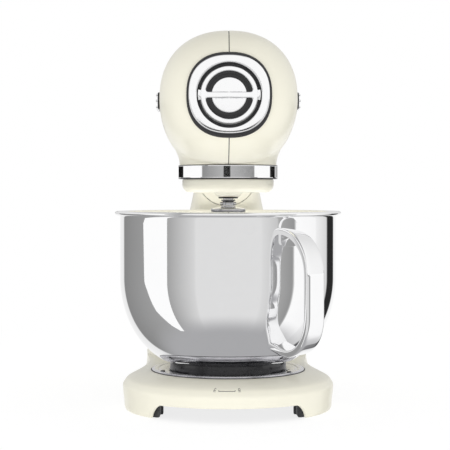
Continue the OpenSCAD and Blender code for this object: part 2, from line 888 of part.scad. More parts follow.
module drive_pin() {
    color(steel) at_bowl() translate([0, -beater_offset, 205.5]) x_cylinder(1.5, 8, 0, 0);
}

module splash_washer() {
    color(dark) at_bowl() translate([0, -beater_offset, 0]) tube(9.8, beater_shaft_r, 209.9, 211.6);
}

// ---------- whisk ----------

whisk_loops = 8;
wire_r = 0.9;
whisk_bottom_r = 44;
whisk_centre_z = 105;
whisk_top = [12, 188];
side_start = 80; // angle from the bottom where the round end meets the long side

module whisk_hub() {
    color(chrome) at_bowl() translate([0, -beater_offset, 0]) difference() {
        rotate_extrude() polygon([
            [beater_shaft_r + 0.06, 189.5], [beater_shaft_r + 0.06, 209.4], [6.4, 209.4], [7.1, 208.9], [6.9, 208.2],
            [5.95, 207.8], [5.95, 204], [6.9, 203.6], [7.2, 203], [7.3, 202.4], [9.2, 202], [16, 200.9],
            [17.2, 199.3], [17.2, 187], [15.5, 185.5], [0, 185.5], [0, 189.5],
        ]);
        translate([0, 0, 205.5]) x_cylinder(1.75, 12, 0, 0);
        block([-12, -1.75, 203.75], [12, 1.75, 205.5]);
    }
}

// Right half of a loop's centre line: [x, z, angle from straight down]. A round end of radius r1
// runs on into a flatter arc of radius r2 that ends inside the hub.
function loop_half(z1) =
    let (
        r1 = whisk_bottom_r,
        dx = whisk_top[0],
        dz = whisk_top[1] - z1,
        s = sin(side_start),
        c = cos(side_start),
        extra = (dx * dx + dz * dz - r1 * r1) / (2 * (r1 - dx * s + dz * c)),
        r2 = r1 + extra,
        centre = [-extra * s, z1 + extra * c],
        top_angle = 90 + atan2(whisk_top[1] - centre[1], dx - centre[0])
    )
    concat(
        [for (i = [0:6]) let (t = side_start * i / 6) [r1 * sin(t), z1 - r1 * cos(t), t]],
        [for (i = [1:7]) let (t = side_start + (top_angle - side_start) * i / 7)
            [centre[0] + r2 * sin(t), centre[1] - r2 * cos(t), t]]
    );

module whisk_loop(lift) {
    half = loop_half(whisk_centre_z + lift);
    path = concat([for (i = [len(half) - 1:-1:1]) [-half[i][0], half[i][1], -half[i][2]]], half);
    loft([
        for (p = path) [
            for (k = [0:7]) let (across = wire_r * cos(45 * k))
                [p[0] + across * sin(p[2]), wire_r * sin(45 * k), p[1] - across * cos(p[2])]
        ]
    ]);
}

module whisk_wires() {
    color(steel) at_bowl() translate([0, -beater_offset, 0])
        for (i = [0:whisk_loops - 1]) rotate(180 * i / whisk_loops) whisk_loop(2 * i);
}

// ---------- front cap and rear button ----------

module hub_cap() {
    color(chrome) at_bowl() translate([0, hub_front, head_z]) rotate([90, 0, 0]) {
        translate([0, 0, -2.6]) cylinder(r = 26.4, h = 1.6);
        tube(26.4, 22, -1, 3.6);
        translate([0, 0, -1]) cylinder(r = 16.2, h = 2.4);
        translate([-23, -2.9, -1]) cube([46, 5.8, 4.8]);
        tube(hub_bore_r - 0.3, hub_bore_r - 3.3, -15, -2.6);
        for (side = [-1, 1]) translate([side * 26.6 - 2.2, -4.5, -1]) cube([4.4, 9, 3.4]);
    }
}

module release_button() {
    color(chrome) at_bowl() {
        y_cylinder(9, 241, 254.5, button_z);
        y_cylinder(stem_r, 208, 241, button_z);
        block([-7, 172, button_z - 3], [7, 208, button_z]);
        block([-7, 172, button_z], [7, 176, latch_z[1]]);
        difference() {
            block([-14, 146, latch_z[0]], [14, 176, latch_z[1]]);
            block([-7, 152.4, 180], [7, 168, 200]);
        }
    }
}

// Coil spring along Y round the stem, between the guide and the button's cap
spring_y = [221.3, 240.8];
spring_turns = 6;

module button_spring() {
    steps = 12 * spring_turns;
    pitch = (spring_y[1] - spring_y[0] - 1.4) / steps;
    color(steel) at_bowl() translate([0, spring_y[0] + 0.7, button_z]) rotate([-90, 0, 0])
        loft([
            for (i = [0:steps]) let (t = 30 * i) [
                for (k = [0:5]) let (r = 5.5 + 0.7 * cos(60 * k))
                    [r * sin(t), -r * cos(t), pitch * i - 0.7 * sin(60 * k)]
            ]
        ]);
}

// ---------- bowl ----------

// Outer radius of the bowl at height z
function bowl_radius(z) =
    z >= bowl_curve[1] ? bowl_r
    : bowl_curve[0] + bowl_curve[2] * sqrt(1 - pow((bowl_curve[1] - z) / bowl_curve[3], 2));

bowl_steps = 12;
// Heights of the curved wall, closer together towards the bottom
bowl_z = [for (i = [0:bowl_steps]) bowl_curve[1] - (bowl_curve[1] - bowl_bottom_z - 0.8) * sin(90 * i / bowl_steps)];

module bowl() {
    color(chrome) at_bowl() {
        rotate_extrude($fn = 128) polygon(concat(
            [[0, bowl_bottom_z]],
            [[bowl_radius(bowl_z[bowl_steps]) - 1.6, bowl_bottom_z]],
            [for (i = [bowl_steps:-1:0]) [bowl_radius(bowl_z[i]), bowl_z[i]]],
            [[bowl_r, rim_z - 1.6], [rim_r - 1.8, rim_z - 1.2], [rim_r - 1.8, rim_z + 0.8], [bowl_r - bowl_t, rim_z + 0.4]],
            [for (i = [0:bowl_steps]) [bowl_radius(bowl_z[i]) - bowl_t, bowl_z[i] + (i / bowl_steps) * 0.5]],
            [[bowl_radius(bowl_z[bowl_steps]) - 3.4, bowl_bottom_z + bowl_t], [22, bowl_bottom_z + bowl_t]],
            [[0, bowl_bottom_z + bowl_t + 2.5]]
        ));
        rotate_extrude($fn = 128) translate([rim_r - 1.8, rim_z]) circle(1.8, $fn = 24);
    }
}

module bowl_foot() {
    color(dark) at_bowl() {
        tube(foot_r, foot_r - 4, foot_z, bowl_bottom_z);
        for (i = [0:2]) rotate(120 * i - 90 + handle_azimuth - 4) difference() {
            translate([0, 0, base_top_z - 4.2]) sector(lug_r, lug_arc, 2.4);
            translate([0, 0, 20]) cylinder(r = foot_r - 4, h = 30);
        }
        tube(foot_r, foot_r - 4, base_top_z - 4.2, foot_z);
    }
}

handle_t = 6.4;
handle_tab_half = handle_w / 2 - 0.7;

// Centre line of the handle in the plane of radius and height
handle_path = concat(
    [for (i = [0:8]) let (t = 90 - 90 * i / 8) [107.5 + 43.7 * cos(t), 141 + 38.3 * sin(t)]],
    [for (i = [0:8]) let (t = -103 * i / 8) [117.2 + 34 * cos(t), 100 + 34 * sin(t)]],
    [[88, 71.8]]
);

function path_normal(path, i) =
    let (a = path[max(0, i - 1)], b = path[min(len(path) - 1, i + 1)], d = b - a)
    [-d[1], d[0]] / norm(d);

module bowl_handle() {
    last = len(handle_path) - 1;
    outline = concat(
        [for (i = [0:last]) handle_path[i] + path_normal(handle_path, i) * handle_t / 2],
        [for (i = [last:-1:0]) handle_path[i] - path_normal(handle_path, i) * handle_t / 2]
    );
    color(chrome) at_bowl() rotate(handle_azimuth - 90) difference() {
        union() {
            translate([0, handle_w / 2, 0]) rotate([90, 0, 0]) linear_extrude(handle_w) polygon(outline);
            intersection() {
                cylinder(r = bowl_r + 2.6, h = 220);
                translate([100, 0, 0]) rotate([90, 0, 90]) linear_extrude(20) {
                    translate([-handle_tab_half, 165.5]) square([2 * handle_tab_half, 17.5]);
                    translate([0, 183]) circle(handle_tab_half);
                }
            }
        }
        rotate_extrude($fn = 128) polygon(concat(
            [[0, 40]],
            [for (i = [bowl_steps:-1:0]) [bowl_radius(bowl_z[i]) + 0.02, bowl_z[i]]],
            [[bowl_r + 0.02, 230], [0, 230]]
        ));
    }
}

// ---------- which node to draw ----------

base_casting();
bottom_plate();
bottom_screws();
rubber_feet();
bowl_seat_ring();
seat_screws();
column();
hinge_cradle();
hinge_pin();
cord_gland();
button_bezel();
tilt_switch();
head_shell_left();
head_shell_right();
gear_frame();
hub_bezel();
attachment_hub();
trim_left();
trim_right();
neck_band();
ring_gear();
shaft_bearings();
motor_stator();
motor_brackets();
brush_holders();
control_board();
speed_plate();
speed_potentiometer();
latch_strike();
motor_rotor();
motor_fan();
worm();
layshaft();
worm_wheel();
lay_pinion();
planet_carrier();
planetary_cover();
main_shaft();
centre_gear();
bevel_gear();
beater_bush();
beater_shaft();
planet_gear();
drive_pin();
splash_washer();
whisk_hub();
whisk_wires();
hub_drive();
hub_cap();
speed_knob();
release_button();
button_spring();
bowl();
bowl_handle();
bowl_foot();
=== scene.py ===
import bmesh
import bpy
import numpy as np
from math import atan2, cos, pi, radians, sin, sqrt, tan
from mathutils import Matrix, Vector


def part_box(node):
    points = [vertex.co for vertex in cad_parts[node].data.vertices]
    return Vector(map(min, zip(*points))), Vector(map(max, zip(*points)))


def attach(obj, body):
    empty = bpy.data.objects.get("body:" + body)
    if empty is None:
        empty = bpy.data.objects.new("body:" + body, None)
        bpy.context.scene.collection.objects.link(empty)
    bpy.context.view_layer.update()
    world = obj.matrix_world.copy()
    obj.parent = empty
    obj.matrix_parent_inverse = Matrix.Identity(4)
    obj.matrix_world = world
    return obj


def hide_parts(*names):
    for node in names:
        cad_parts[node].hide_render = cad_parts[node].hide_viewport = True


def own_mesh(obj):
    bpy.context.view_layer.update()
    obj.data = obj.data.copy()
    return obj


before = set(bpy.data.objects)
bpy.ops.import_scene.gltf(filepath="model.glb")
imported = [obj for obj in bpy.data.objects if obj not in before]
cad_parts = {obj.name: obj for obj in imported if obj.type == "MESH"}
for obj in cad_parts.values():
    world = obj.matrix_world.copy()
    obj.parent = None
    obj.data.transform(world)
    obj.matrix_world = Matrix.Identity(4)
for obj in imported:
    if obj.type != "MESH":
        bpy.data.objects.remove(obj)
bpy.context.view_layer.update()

# ---------- studio ----------
# A table-top product shot: a long lens 20 mm above the bowl's rim, a white sweep, three soft boxes in front
# and a small lit card in the bowl. White, grey and black panels all round are seen only in reflections.

bowl_low, bowl_high = (np.array(corner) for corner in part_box("bowl"))
bowl_axis_y = (bowl_low[1] + bowl_high[1]) / 2
camera_distance = 1.375
camera_height = 0.2163
lens = bpy.data.cameras.new("camera")
lens.lens = 109
lens.sensor_width = 36
lens.clip_start, lens.clip_end = 0.05, 50
camera = bpy.data.objects.new("camera", lens)
camera.location = (-0.014, bowl_axis_y - camera_distance, camera_height)
camera.rotation_euler = (radians(90 - 1.363), 0, radians(-0.457))
bpy.context.scene.collection.objects.link(camera)
bpy.context.scene.camera = camera
bpy.context.scene.view_settings.view_transform = "Standard"


def add(tree, kind, inputs=None, **settings):
    """A new shader node of that kind: settings are its properties, inputs its sockets by name or number,
    each given a value or the socket that it is linked from."""
    made = tree.nodes.new("ShaderNode" + kind)
    for name, value in settings.items():
        setattr(made, name, value)
    for name, value in (inputs or {}).items():
        socket = made.inputs[name]
        if isinstance(value, bpy.types.NodeSocket):
            tree.links.new(value, socket)
        else:
            socket.default_value = value
    return made


def arith(tree, operation, first, second=0.0):
    """Result of one arithmetic step on two numbers or sockets."""
    return add(tree, "Math", {0: first, 1: second}, operation=operation).outputs[0]


def ramp(tree, factor, stops, interpolation="LINEAR"):
    """Colour that follows factor through the stops, each (place, grey or colour)."""
    made = add(tree, "ValToRGB", {"Fac": factor})
    band = made.color_ramp
    band.interpolation = interpolation
    while len(band.elements) < len(stops):
        band.elements.new(0.5)
    for element, (place, colour) in zip(band.elements, stops):
        element.position = place
        element.color = (*colour, 1) if isinstance(colour, tuple) else (colour, colour, colour, 1)
    return made.outputs["Color"]


WHITE = (1, 1, 1, 1)


def linear(level):
    """Linear light of a display grey from 0 to 255."""
    share = level / 255
    return share / 12.92 if share <= 0.04045 else ((share + 0.055) / 1.055) ** 2.4


def panels(tree, azimuth, levels, blur=1.5):
    """Ring of panels round the object: levels are (start angle, end angle, grey at start, grey at end), in
    degrees from the camera towards +X, with an edge of blur degrees between neighbours."""
    stops = []
    for start, end, first, last in levels:
        stops.append(((start + blur / 2 + 180) / 360, linear(first)))
        stops.append(((end - blur / 2 + 180) / 360, linear(last)))
    return ramp(tree, azimuth, stops)


world = bpy.data.worlds.new("studio")
world.use_nodes = True
bpy.context.scene.world = world
sky = world.node_tree
sky.nodes.clear()
direction = add(sky, "SeparateXYZ", {0: add(sky, "TexCoord").outputs["Generated"]}).outputs
azimuth = arith(sky, "ARCTAN2", direction["X"], arith(sky, "MULTIPLY", direction["Y"], -1.0))
azimuth = arith(sky, "ADD", arith(sky, "DIVIDE", azimuth, 2 * pi), 0.5)
# Three rings of panels: below the lens's level, in a narrow band just above it, and from there up
low_panels = panels(sky, azimuth, [
    (-180, -145, 250, 235), (-145, -67, 136, 166), (-67, -35, 164, 214), (-35, 35, 223, 224),
    (35, 53, 219, 200), (53, 72, 168, 148), (72, 105, 255, 250), (105, 128, 240, 216), (128, 149, 40, 44),
    (149, 180, 246, 255),
])
band_panels = panels(sky, azimuth, [
    (-180, -128, 20, 24), (-128, -63, 255, 255), (-63, -11, 140, 176), (-11, 4.6, 22, 22),
    (4.6, 63, 178, 140), (63, 114, 255, 255), (114, 140, 18, 22), (140, 180, 200, 120),
], blur=1.0)
high_panels = panels(sky, azimuth, [
    (-180, -150, 225, 225), (-150, -120, 225, 235), (-120, -70, 236, 245), (-70, -48, 236, 150),
    (-48, 48, 252, 252), (48, 70, 250, 250), (70, 120, 250, 236), (120, 150, 235, 225), (150, 180, 225, 225),
], blur=3)
elevation = direction["Z"]
above = add(sky, "MapRange", {"Value": elevation, "From Min": -0.004, "From Max": 0.004}).outputs[0]
higher = add(sky, "MapRange", {"Value": elevation, "From Min": 0.024, "From Max": 0.032}).outputs[0]
overhead = add(sky, "MapRange", {"Value": elevation, "From Min": 0.45, "From Max": 0.9}).outputs[0]
not_right = add(sky, "MapRange", {"Value": direction["X"], "From Min": 0.34, "From Max": 0.22}).outputs[0]
overhead = arith(sky, "MULTIPLY", overhead, not_right)


def mixed(tree, factor, first, second, blend="MIX"):
    """Colour between first and second."""
    made = add(tree, "Mix", data_type="RGBA", blend_type=blend)
    for socket, value in zip((made.inputs[0], made.inputs[6], made.inputs[7]), (factor, first, second)):
        if isinstance(value, bpy.types.NodeSocket):
            tree.links.new(value, socket)
        else:
            socket.default_value = value
    return made.outputs[2]


# A white card on the left narrows downwards, and the ring of panels fades into the grey of the floor
card_edge = ramp(sky, arith(sky, "MULTIPLY", elevation, -1.0), [
    (0.0, (180 - 101.5) / 360), (0.17, (180 - 95.5) / 360), (0.42, (180 - 90) / 360),
    (0.64, (180 - 79) / 360), (0.73, (180 - 72) / 360), (0.75, (180 - 66) / 360),
])
past_edge = arith(sky, "GREATER_THAN", azimuth, card_edge)
card = arith(sky, "MULTIPLY", past_edge, arith(sky, "LESS_THAN", azimuth, (180 - 67) / 360))
floor_share = add(
    sky, "MapRange", {"Value": elevation, "From Min": -0.55, "From Max": -0.84, "To Min": 0.0, "To Max": 1.0},
    interpolation_type="SMOOTHSTEP",
).outputs[0]
grey_floor = (linear(170), linear(170), linear(172), 1)
low_panels = mixed(sky, floor_share, low_panels, grey_floor)
low_panels = mixed(sky, card, low_panels, WHITE)
mirrored = mixed(sky, above, low_panels, band_panels)
mirrored = mixed(sky, higher, mirrored, high_panels)
mirrored = mixed(sky, overhead, mirrored, (linear(158), linear(158), linear(160), 1))
ray = add(sky, "LightPath").outputs
soft_light = (0.79, 0.79, 0.79, 1)
seen_in_metal = arith(sky, "MAXIMUM", ray["Is Glossy Ray"], ray["Is Transmission Ray"])
light = mixed(sky, seen_in_metal, soft_light, mirrored)
light = mixed(sky, ray["Is Camera Ray"], light, WHITE)
add(sky, "OutputWorld", {0: add(sky, "Background", {"Color": light, "Strength": 1.0}).outputs[0]})


def soft_box(name, place, target, size, power):
    """A rectangular area lamp at place that faces target. Metal doesn't mirror it."""
    lamp = bpy.data.lights.new(name, "AREA")
    lamp.shape, lamp.size, lamp.size_y = "RECTANGLE", *size
    lamp.energy = power
    made = bpy.data.objects.new(name, lamp)
    aim = np.array(target) - np.array(place)
    made.location = place
    made.rotation_euler = (pi / 2 + atan2(aim[2], sqrt(aim[0] ** 2 + aim[1] ** 2)), 0, atan2(-aim[0], aim[1]))
    made.visible_glossy = False
    bpy.context.scene.collection.objects.link(made)


middle = (0, bowl_axis_y, 0.2)
soft_box("key_left", (-0.6, bowl_axis_y - 1.3, 0.14), middle, (0.8, 0.25), 1.7)
soft_box("key_right", (0.6, bowl_axis_y - 1.3, 0.14), middle, (0.8, 0.25), 1.7)
soft_box("low_front", (0, bowl_axis_y - 1.2, 0.08), (0, bowl_axis_y, 0.25), (1.2, 0.12), 1.1)
# The card in the bowl throws light up at the underside of the head
soft_box("card_in_bowl", (0, bowl_axis_y, 0.16), (0, bowl_axis_y, 0.3), (0.13, 0.13), 0.21)


def grid_faces(rows, columns, round_rows=False, round_columns=True):
    """Quads between neighbouring rows and columns of a grid; the last meets the first where it goes round."""
    row, column = np.meshgrid(
        np.arange(rows - (not round_rows)), np.arange(columns - (not round_columns)), indexing="ij",
    )
    below, right = (row + 1) % rows, (column + 1) % columns
    corners = (
        row * columns + column, row * columns + right, below * columns + right, below * columns + column,
    )
    return np.stack(corners, -1).reshape(-1, 4).tolist()


def polar(radius, turn):
    """Points (x, y) at that radius and angle."""
    return np.stack([radius * np.cos(turn), radius * np.sin(turn)], -1)


def at_height(plan, z):
    """Points (x, y) raised to that height, which may differ from point to point."""
    return np.concatenate([plan, np.broadcast_to(z, plan.shape[:-1])[..., None]], -1)


def tidy_mesh(mesh, sharp):
    """Doubles merged, normals outwards, smooth shading with edges sharper than that angle kept crisp."""
    work = bmesh.new()
    work.from_mesh(mesh)
    bmesh.ops.remove_doubles(work, verts=work.verts, dist=2e-6)
    bmesh.ops.dissolve_degenerate(work, edges=work.edges, dist=1e-7)
    bmesh.ops.recalc_face_normals(work, faces=work.faces)
    work.to_mesh(mesh)
    work.free()
    mesh.shade_smooth()
    mesh.set_sharp_from_angle(angle=radians(sharp))


def piece_of(name, points, faces, sharp=32):
    """Object with those points, in millimetres from the foot of the bowl's axis, and those faces."""
    in_frame = np.asarray(points, float).reshape(-1, 3) * 0.001 + (0, bowl_axis_y, 0)
    mesh = bpy.data.meshes.new(name)
    mesh.from_pydata(in_frame.tolist(), [], faces)
    tidy_mesh(mesh, sharp)
    made = bpy.data.objects.new(name, mesh)
    bpy.context.scene.collection.objects.link(made)
    return made


# The floor is a white disc that fades into the background and keeps a soft shadow of the mixer. Metal sees
# the studio below through it.
floor_radius = 1.3
spokes = 2 * pi * np.arange(96) / 96
rings = np.array([0.001, 0.5, 1.0]) * floor_radius * 1000
disc = at_height(polar(rings[:, None], spokes), -0.6)
floor = piece_of("floor", disc, grid_faces(3, 96) + [list(range(96))])
sweep = bpy.data.materials.new("white_sweep")
sweep.use_nodes = True
tree = sweep.node_tree
tree.nodes.clear()
ray = add(tree, "LightPath").outputs
offset = add(
    tree, "Mapping", {"Vector": add(tree, "TexCoord").outputs["Object"], "Location": (0, -bowl_axis_y, 0)},
)
reach = add(tree, "VectorMath", {0: offset.outputs[0]}, operation="LENGTH").outputs["Value"]
fade = add(tree, "MapRange", {"Value": reach, "From Min": 0.35, "From Max": 0.8}).outputs[0]
painted = add(tree, "AddShader", {
    0: add(tree, "BsdfDiffuse", {"Color": (0.26, 0.26, 0.26, 1)}).outputs[0],
    1: add(tree, "Emission", {"Color": (0.8, 0.8, 0.8, 1), "Strength": 1.0}).outputs[0],
})
flat_white = add(tree, "Emission", {"Color": WHITE, "Strength": 1.0})
seen = add(tree, "MixShader", {0: fade, 1: painted.outputs[0], 2: flat_white.outputs[0]})
bounced = add(tree, "AddShader", {
    0: add(tree, "BsdfDiffuse", {"Color": (0.5, 0.5, 0.5, 1)}).outputs[0],
    1: add(tree, "Emission", {"Color": (0.7, 0.7, 0.695, 1), "Strength": 1.0}).outputs[0],
})
clear = add(tree, "BsdfTransparent")
seen_in_metal = arith(tree, "MAXIMUM", ray["Is Glossy Ray"], ray["Is Transmission Ray"])
shown = add(tree, "MixShader", {0: seen_in_metal, 1: bounced.outputs[0], 2: clear.outputs[0]})
shown = add(tree, "MixShader", {0: ray["Is Camera Ray"], 1: shown.outputs[0], 2: seen.outputs[0]})
add(tree, "OutputMaterial", {0: shown.outputs[0]})
floor.data.materials.append(sweep)


# ---------- base casting ----------
# Die-cast base with a round front about the bowl's axis, a domed shoulder and a flat top with a round
# opening for the bowl's foot. Arches under the front, sides and back leave four legs. It is enamelled cream.

def shader_group(name, inputs, outputs):
    """Empty node group with named number, vector or colour sockets; returns it with its inner ends."""
    group = bpy.data.node_groups.new(name, "ShaderNodeTree")
    new_socket = group.interface.new_socket
    for label, kind, value in inputs:
        new_socket(label, in_out="INPUT", socket_type="NodeSocket" + kind).default_value = value
    for label, kind in outputs:
        new_socket(label, in_out="OUTPUT", socket_type="NodeSocket" + kind)
    return group, group.nodes.new("NodeGroupInput").outputs, group.nodes.new("NodeGroupOutput").inputs


# Fine relief of a surface, such as orange peel, casting grain or turned lines
relief, given, result = shader_group("fine_relief", [
    ("Scale", "Float", 400.0), ("Stretch", "Vector", (1, 1, 1)), ("Strength", "Float", 0.1),
    ("Depth", "Float", 1e-5),
], [("Normal", "Vector"), ("Height", "Float")])
place = add(relief, "TexCoord").outputs["Object"]
mapped = add(relief, "Mapping", {"Vector": place, "Scale": given["Stretch"]}).outputs[0]
height = add(relief, "TexNoise", {"Vector": mapped, "Scale": given["Scale"], "Detail": 3.0}).outputs["Fac"]
bumped = add(relief, "Bump", {"Height": height, "Strength": given["Strength"], "Distance": given["Depth"]})
relief.links.new(bumped.outputs[0], result["Normal"])
relief.links.new(height, result["Height"])

# Handling: cloudy change of gloss, with faint smears, between two roughness values
handling, given, result = shader_group("handling", [
    ("Smooth", "Float", 0.1), ("Dull", "Float", 0.2), ("Scale", "Float", 18.0),
], [("Roughness", "Float"), ("Mask", "Float")])
place = add(handling, "TexCoord").outputs["Object"]
cloud = add(handling, "TexNoise", {"Vector": place, "Scale": given["Scale"], "Detail": 4.0}).outputs["Fac"]
fine_scale = arith(handling, "MULTIPLY", given["Scale"], 9.0)
smear = add(handling, "TexNoise", {"Vector": place, "Scale": fine_scale, "Detail": 3.0, "Distortion": 1.2})
share = arith(handling, "MULTIPLY", cloud, smear.outputs["Fac"])
share = add(handling, "MapRange", {"Value": share, "From Min": 0.15, "From Max": 0.42}).outputs[0]
rough = add(handling, "MapRange", {"Value": share, "To Min": given["Smooth"], "To Max": given["Dull"]})
handling.links.new(rough.outputs[0], result["Roughness"])
handling.links.new(share, result["Mask"])

# Edge wear: a second colour along outer edges, broken up by noise
edge_wear, given, result = shader_group("edge_wear", [
    ("Colour", "Color", WHITE), ("Worn", "Color", WHITE), ("Amount", "Float", 0.3), ("Scale", "Float", 120.0),
], [("Colour", "Color"), ("Mask", "Float")])
edge = add(edge_wear, "NewGeometry").outputs["Pointiness"]
edge = add(edge_wear, "MapRange", {"Value": edge, "From Min": 0.52, "From Max": 0.62}).outputs[0]
place = add(edge_wear, "TexCoord").outputs["Object"]
patch = add(edge_wear, "TexNoise", {"Vector": place, "Scale": given["Scale"], "Detail": 3.0}).outputs["Fac"]
patch = add(edge_wear, "MapRange", {"Value": patch, "From Min": 0.45, "From Max": 0.6}).outputs[0]
worn = arith(edge_wear, "MULTIPLY", arith(edge_wear, "MULTIPLY", edge, patch), given["Amount"])
edge_wear.links.new(mixed(edge_wear, worn, given["Colour"], given["Worn"]), result["Colour"])
edge_wear.links.new(worn, result["Mask"])


def finish(name, colour, smooth, dull, metallic=0.0, cloud=18.0, grain=(400, (1, 1, 1), 0.05, 1e-5),
           worn=None, wear=0.0, tint=0.02, coat=0.0, coat_roughness=0.03, ior=1.5):
    """Material whose gloss varies between smooth and dull, whose grain is (scale, stretch, strength, depth),
    whose colour drifts by tint and whose edges wear to the worn colour."""
    material = bpy.data.materials.new(name)
    material.use_nodes = True
    tree = material.node_tree
    shader = tree.nodes["Principled BSDF"]
    shader.inputs["Metallic"].default_value = metallic
    shader.inputs["IOR"].default_value = ior
    shader.inputs["Coat Weight"].default_value = coat
    shader.inputs["Coat Roughness"].default_value = coat_roughness
    gloss = add(tree, "Group", {}, node_tree=handling)
    for label, value in (("Smooth", smooth), ("Dull", dull), ("Scale", cloud)):
        gloss.inputs[label].default_value = value
    tree.links.new(gloss.outputs["Roughness"], shader.inputs["Roughness"])
    surface = add(tree, "Group", {}, node_tree=relief)
    for label, value in zip(("Scale", "Stretch", "Strength", "Depth"), grain):
        surface.inputs[label].default_value = value
    tree.links.new(surface.outputs["Normal"], shader.inputs["Normal"])
    base = (*colour, 1)
    drift = tuple(max(0.0, channel * (1 - 2 * tint)) for channel in colour)
    body_colour = mixed(tree, arith(tree, "MULTIPLY", gloss.outputs["Mask"], 0.5), base, (*drift, 1))
    if worn:
        edges = add(tree, "Group", {}, node_tree=edge_wear)
        tree.links.new(body_colour, edges.inputs["Colour"])
        edges.inputs["Worn"].default_value = (*worn, 1)
        edges.inputs["Amount"].default_value = wear
        body_colour = edges.outputs["Colour"]
    tree.links.new(body_colour, shader.inputs["Base Color"])
    return material


def metal(name, colour, smooth, dull, **rest):
    """Finish of bare metal, with finish's own settings after its two roughness values."""
    return finish(name, colour, smooth, dull, metallic=1.0, **rest)


def smooth_step(value):
    """0 below 0, 1 above 1 and a smooth cubic between."""
    value = np.clip(value, 0, 1)
    return value * value * (3 - 2 * value)


def smooth_through(points, steps=8):
    """Catmull-Rom curve through the points, with that many steps between neighbours."""
    points = np.asarray(points, float)
    before = np.concatenate([[2 * points[0] - points[1]], points[:-1]])
    after = np.concatenate([points[1:], [2 * points[-1] - points[-2]]])
    slope = (after - before) / 2
    t = np.linspace(0, 1, steps, endpoint=False)[None, :, None]
    first, last, leave, arrive = points[:-1, None], points[1:, None], slope[:-1, None], slope[1:, None]
    curve = (
        first * (2 * t**3 - 3 * t**2 + 1) + leave * (t**3 - 2 * t**2 + t)
        + last * (3 * t**2 - 2 * t**3) + arrive * (t**3 - t**2)
    )
    return np.concatenate([curve.reshape(-1, points.shape[1]), points[-1:]])


def fit(piece, material, body, slot, *nodes):
    """Gives a finished piece its material and its body, and hides the CAD nodes that it stands for. slot is
    not used.
    """
    piece.data.materials.clear()
    piece.data.materials.append(material)
    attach(piece, body)
    if nodes:
        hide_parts(*nodes)


cream_enamel = finish(
    "cream_enamel", (0.86, 0.835, 0.71), 0.32, 0.38, cloud=9, grain=(700, (1, 1, 1), 0.12, 2e-5),
    tint=0.012, coat=0.15, coat_roughness=0.12,
)

base_front_r, base_side, base_back, base_corner = 106.2, 90.5, 268.0, 58.0
flat_front_r, flat_side, flat_back = 77.6, 89.8, base_back - 6
seat_opening_r = 62.5
skirt_top_z, base_top_z = 23.4, 38.0
arch_height, front_arch, side_arch, rear_arch = 13.5, 76.5, 69, 59
side_arch_y = 105


def steps_through(*stretches):
    """Even steps through each stretch (start, end, count), without its end, one stretch after another."""
    return np.concatenate([np.linspace(start, end, count, endpoint=False) for start, end, count in stretches])


def half_outline(front_r, side, back, ease, flare):
    """Right half of the base in plan: a quarter circle of front_r about the bowl's axis, a side that narrows
    over the distance ease and widens again by flare to the half width side, and a back corner that is a
    superellipse."""
    turn = np.radians(steps_through((0, 30, 24), (30, 60, 60), (60, 90, 16)))
    run = steps_through((0, 0.19, 14), (0.19, 0.33, 34), (0.33, 0.72, 30), (0.72, 0.86, 34), (0.86, 1, 10))
    bend = np.radians(np.concatenate([
        steps_through((0, 1, 20)) ** 1.6 * 30, steps_through((30, 60, 60)),
        90 - np.linspace(1, 0, 20) ** 1.6 * 30,
    ]))
    front = np.stack([front_r * np.sin(turn), -front_r * np.cos(turn)], -1)
    y = (back - base_corner) * run
    width = front_r + (side - flare - front_r) * smooth_step(y / ease) + flare * smooth_step((y - 95) / 110)
    flank = np.stack([width, y], -1)
    corner = np.stack([
        side * np.abs(np.cos(bend)) ** 0.8, back - base_corner + base_corner * np.sin(bend) ** 0.8,
    ], -1)
    return np.concatenate([front, flank, corner])


def whole_outline(half):
    """The right half and its mirror image, as one closed line."""
    return np.concatenate([half, half[-2:0:-1] * (-1, 1)])


def arch_rise(distance, half_width):
    """Height of the lower edge in an arch, at a distance from its middle: flat, with a slanted and rounded
    fall of 10 mm to each leg."""
    fall = np.clip((np.abs(distance) - (half_width - 10)) / 10, 0, 1)
    return arch_height * (1 - fall**1.6) ** (1 / 1.6)


low_line = whole_outline(half_outline(base_front_r, base_side, base_back, 85, 2.5))
top_line = whole_outline(half_outline(flat_front_r, flat_side, flat_back, 180, 0))
x, y = low_line.T
lower_edge = np.select(
    [(y < 0) & (abs(x) < front_arch), (abs(x) > 80) & (abs(y - side_arch_y) < side_arch),
     (y > 200) & (abs(x) < rear_arch)],
    [arch_rise(x, front_arch), arch_rise(y - side_arch_y, side_arch), arch_rise(x, rear_arch)], 0,
)
# Share of the way in from the skirt's outline to the flat top's, and the height
skirt = np.array([(0.085, 0), (0.066, 0.8), (0.054, 8), (0.02, 16), (0.0, skirt_top_z)])
dome = smooth_through([
    (0.0, skirt_top_z), (0.018, 25.2), (0.08, 28), (0.145, 30.3), (0.25, 32.1), (0.424, 34), (0.623, 35.7),
    (0.83, 37.2), (0.95, 37.85), (1.0, base_top_z),
], 4)


def base_level(share, z):
    """Ring of the base at that share of the way in and that height; both may differ from point to point."""
    share = np.broadcast_to(share, x.shape)[:, None]
    plan = low_line * (1 - share) + top_line * share
    return at_height(plan, z)


def skirt_levels(inset):
    """Rings of the skirt, squeezed over the arches so that the last lies along their edges."""
    levels = []
    for part in np.linspace(0, 1, 9):
        z = lower_edge + (skirt_top_z - lower_edge) * part
        levels.append(base_level(np.interp(z, skirt[:, 1], skirt[:, 0]) + inset, z))
    return levels


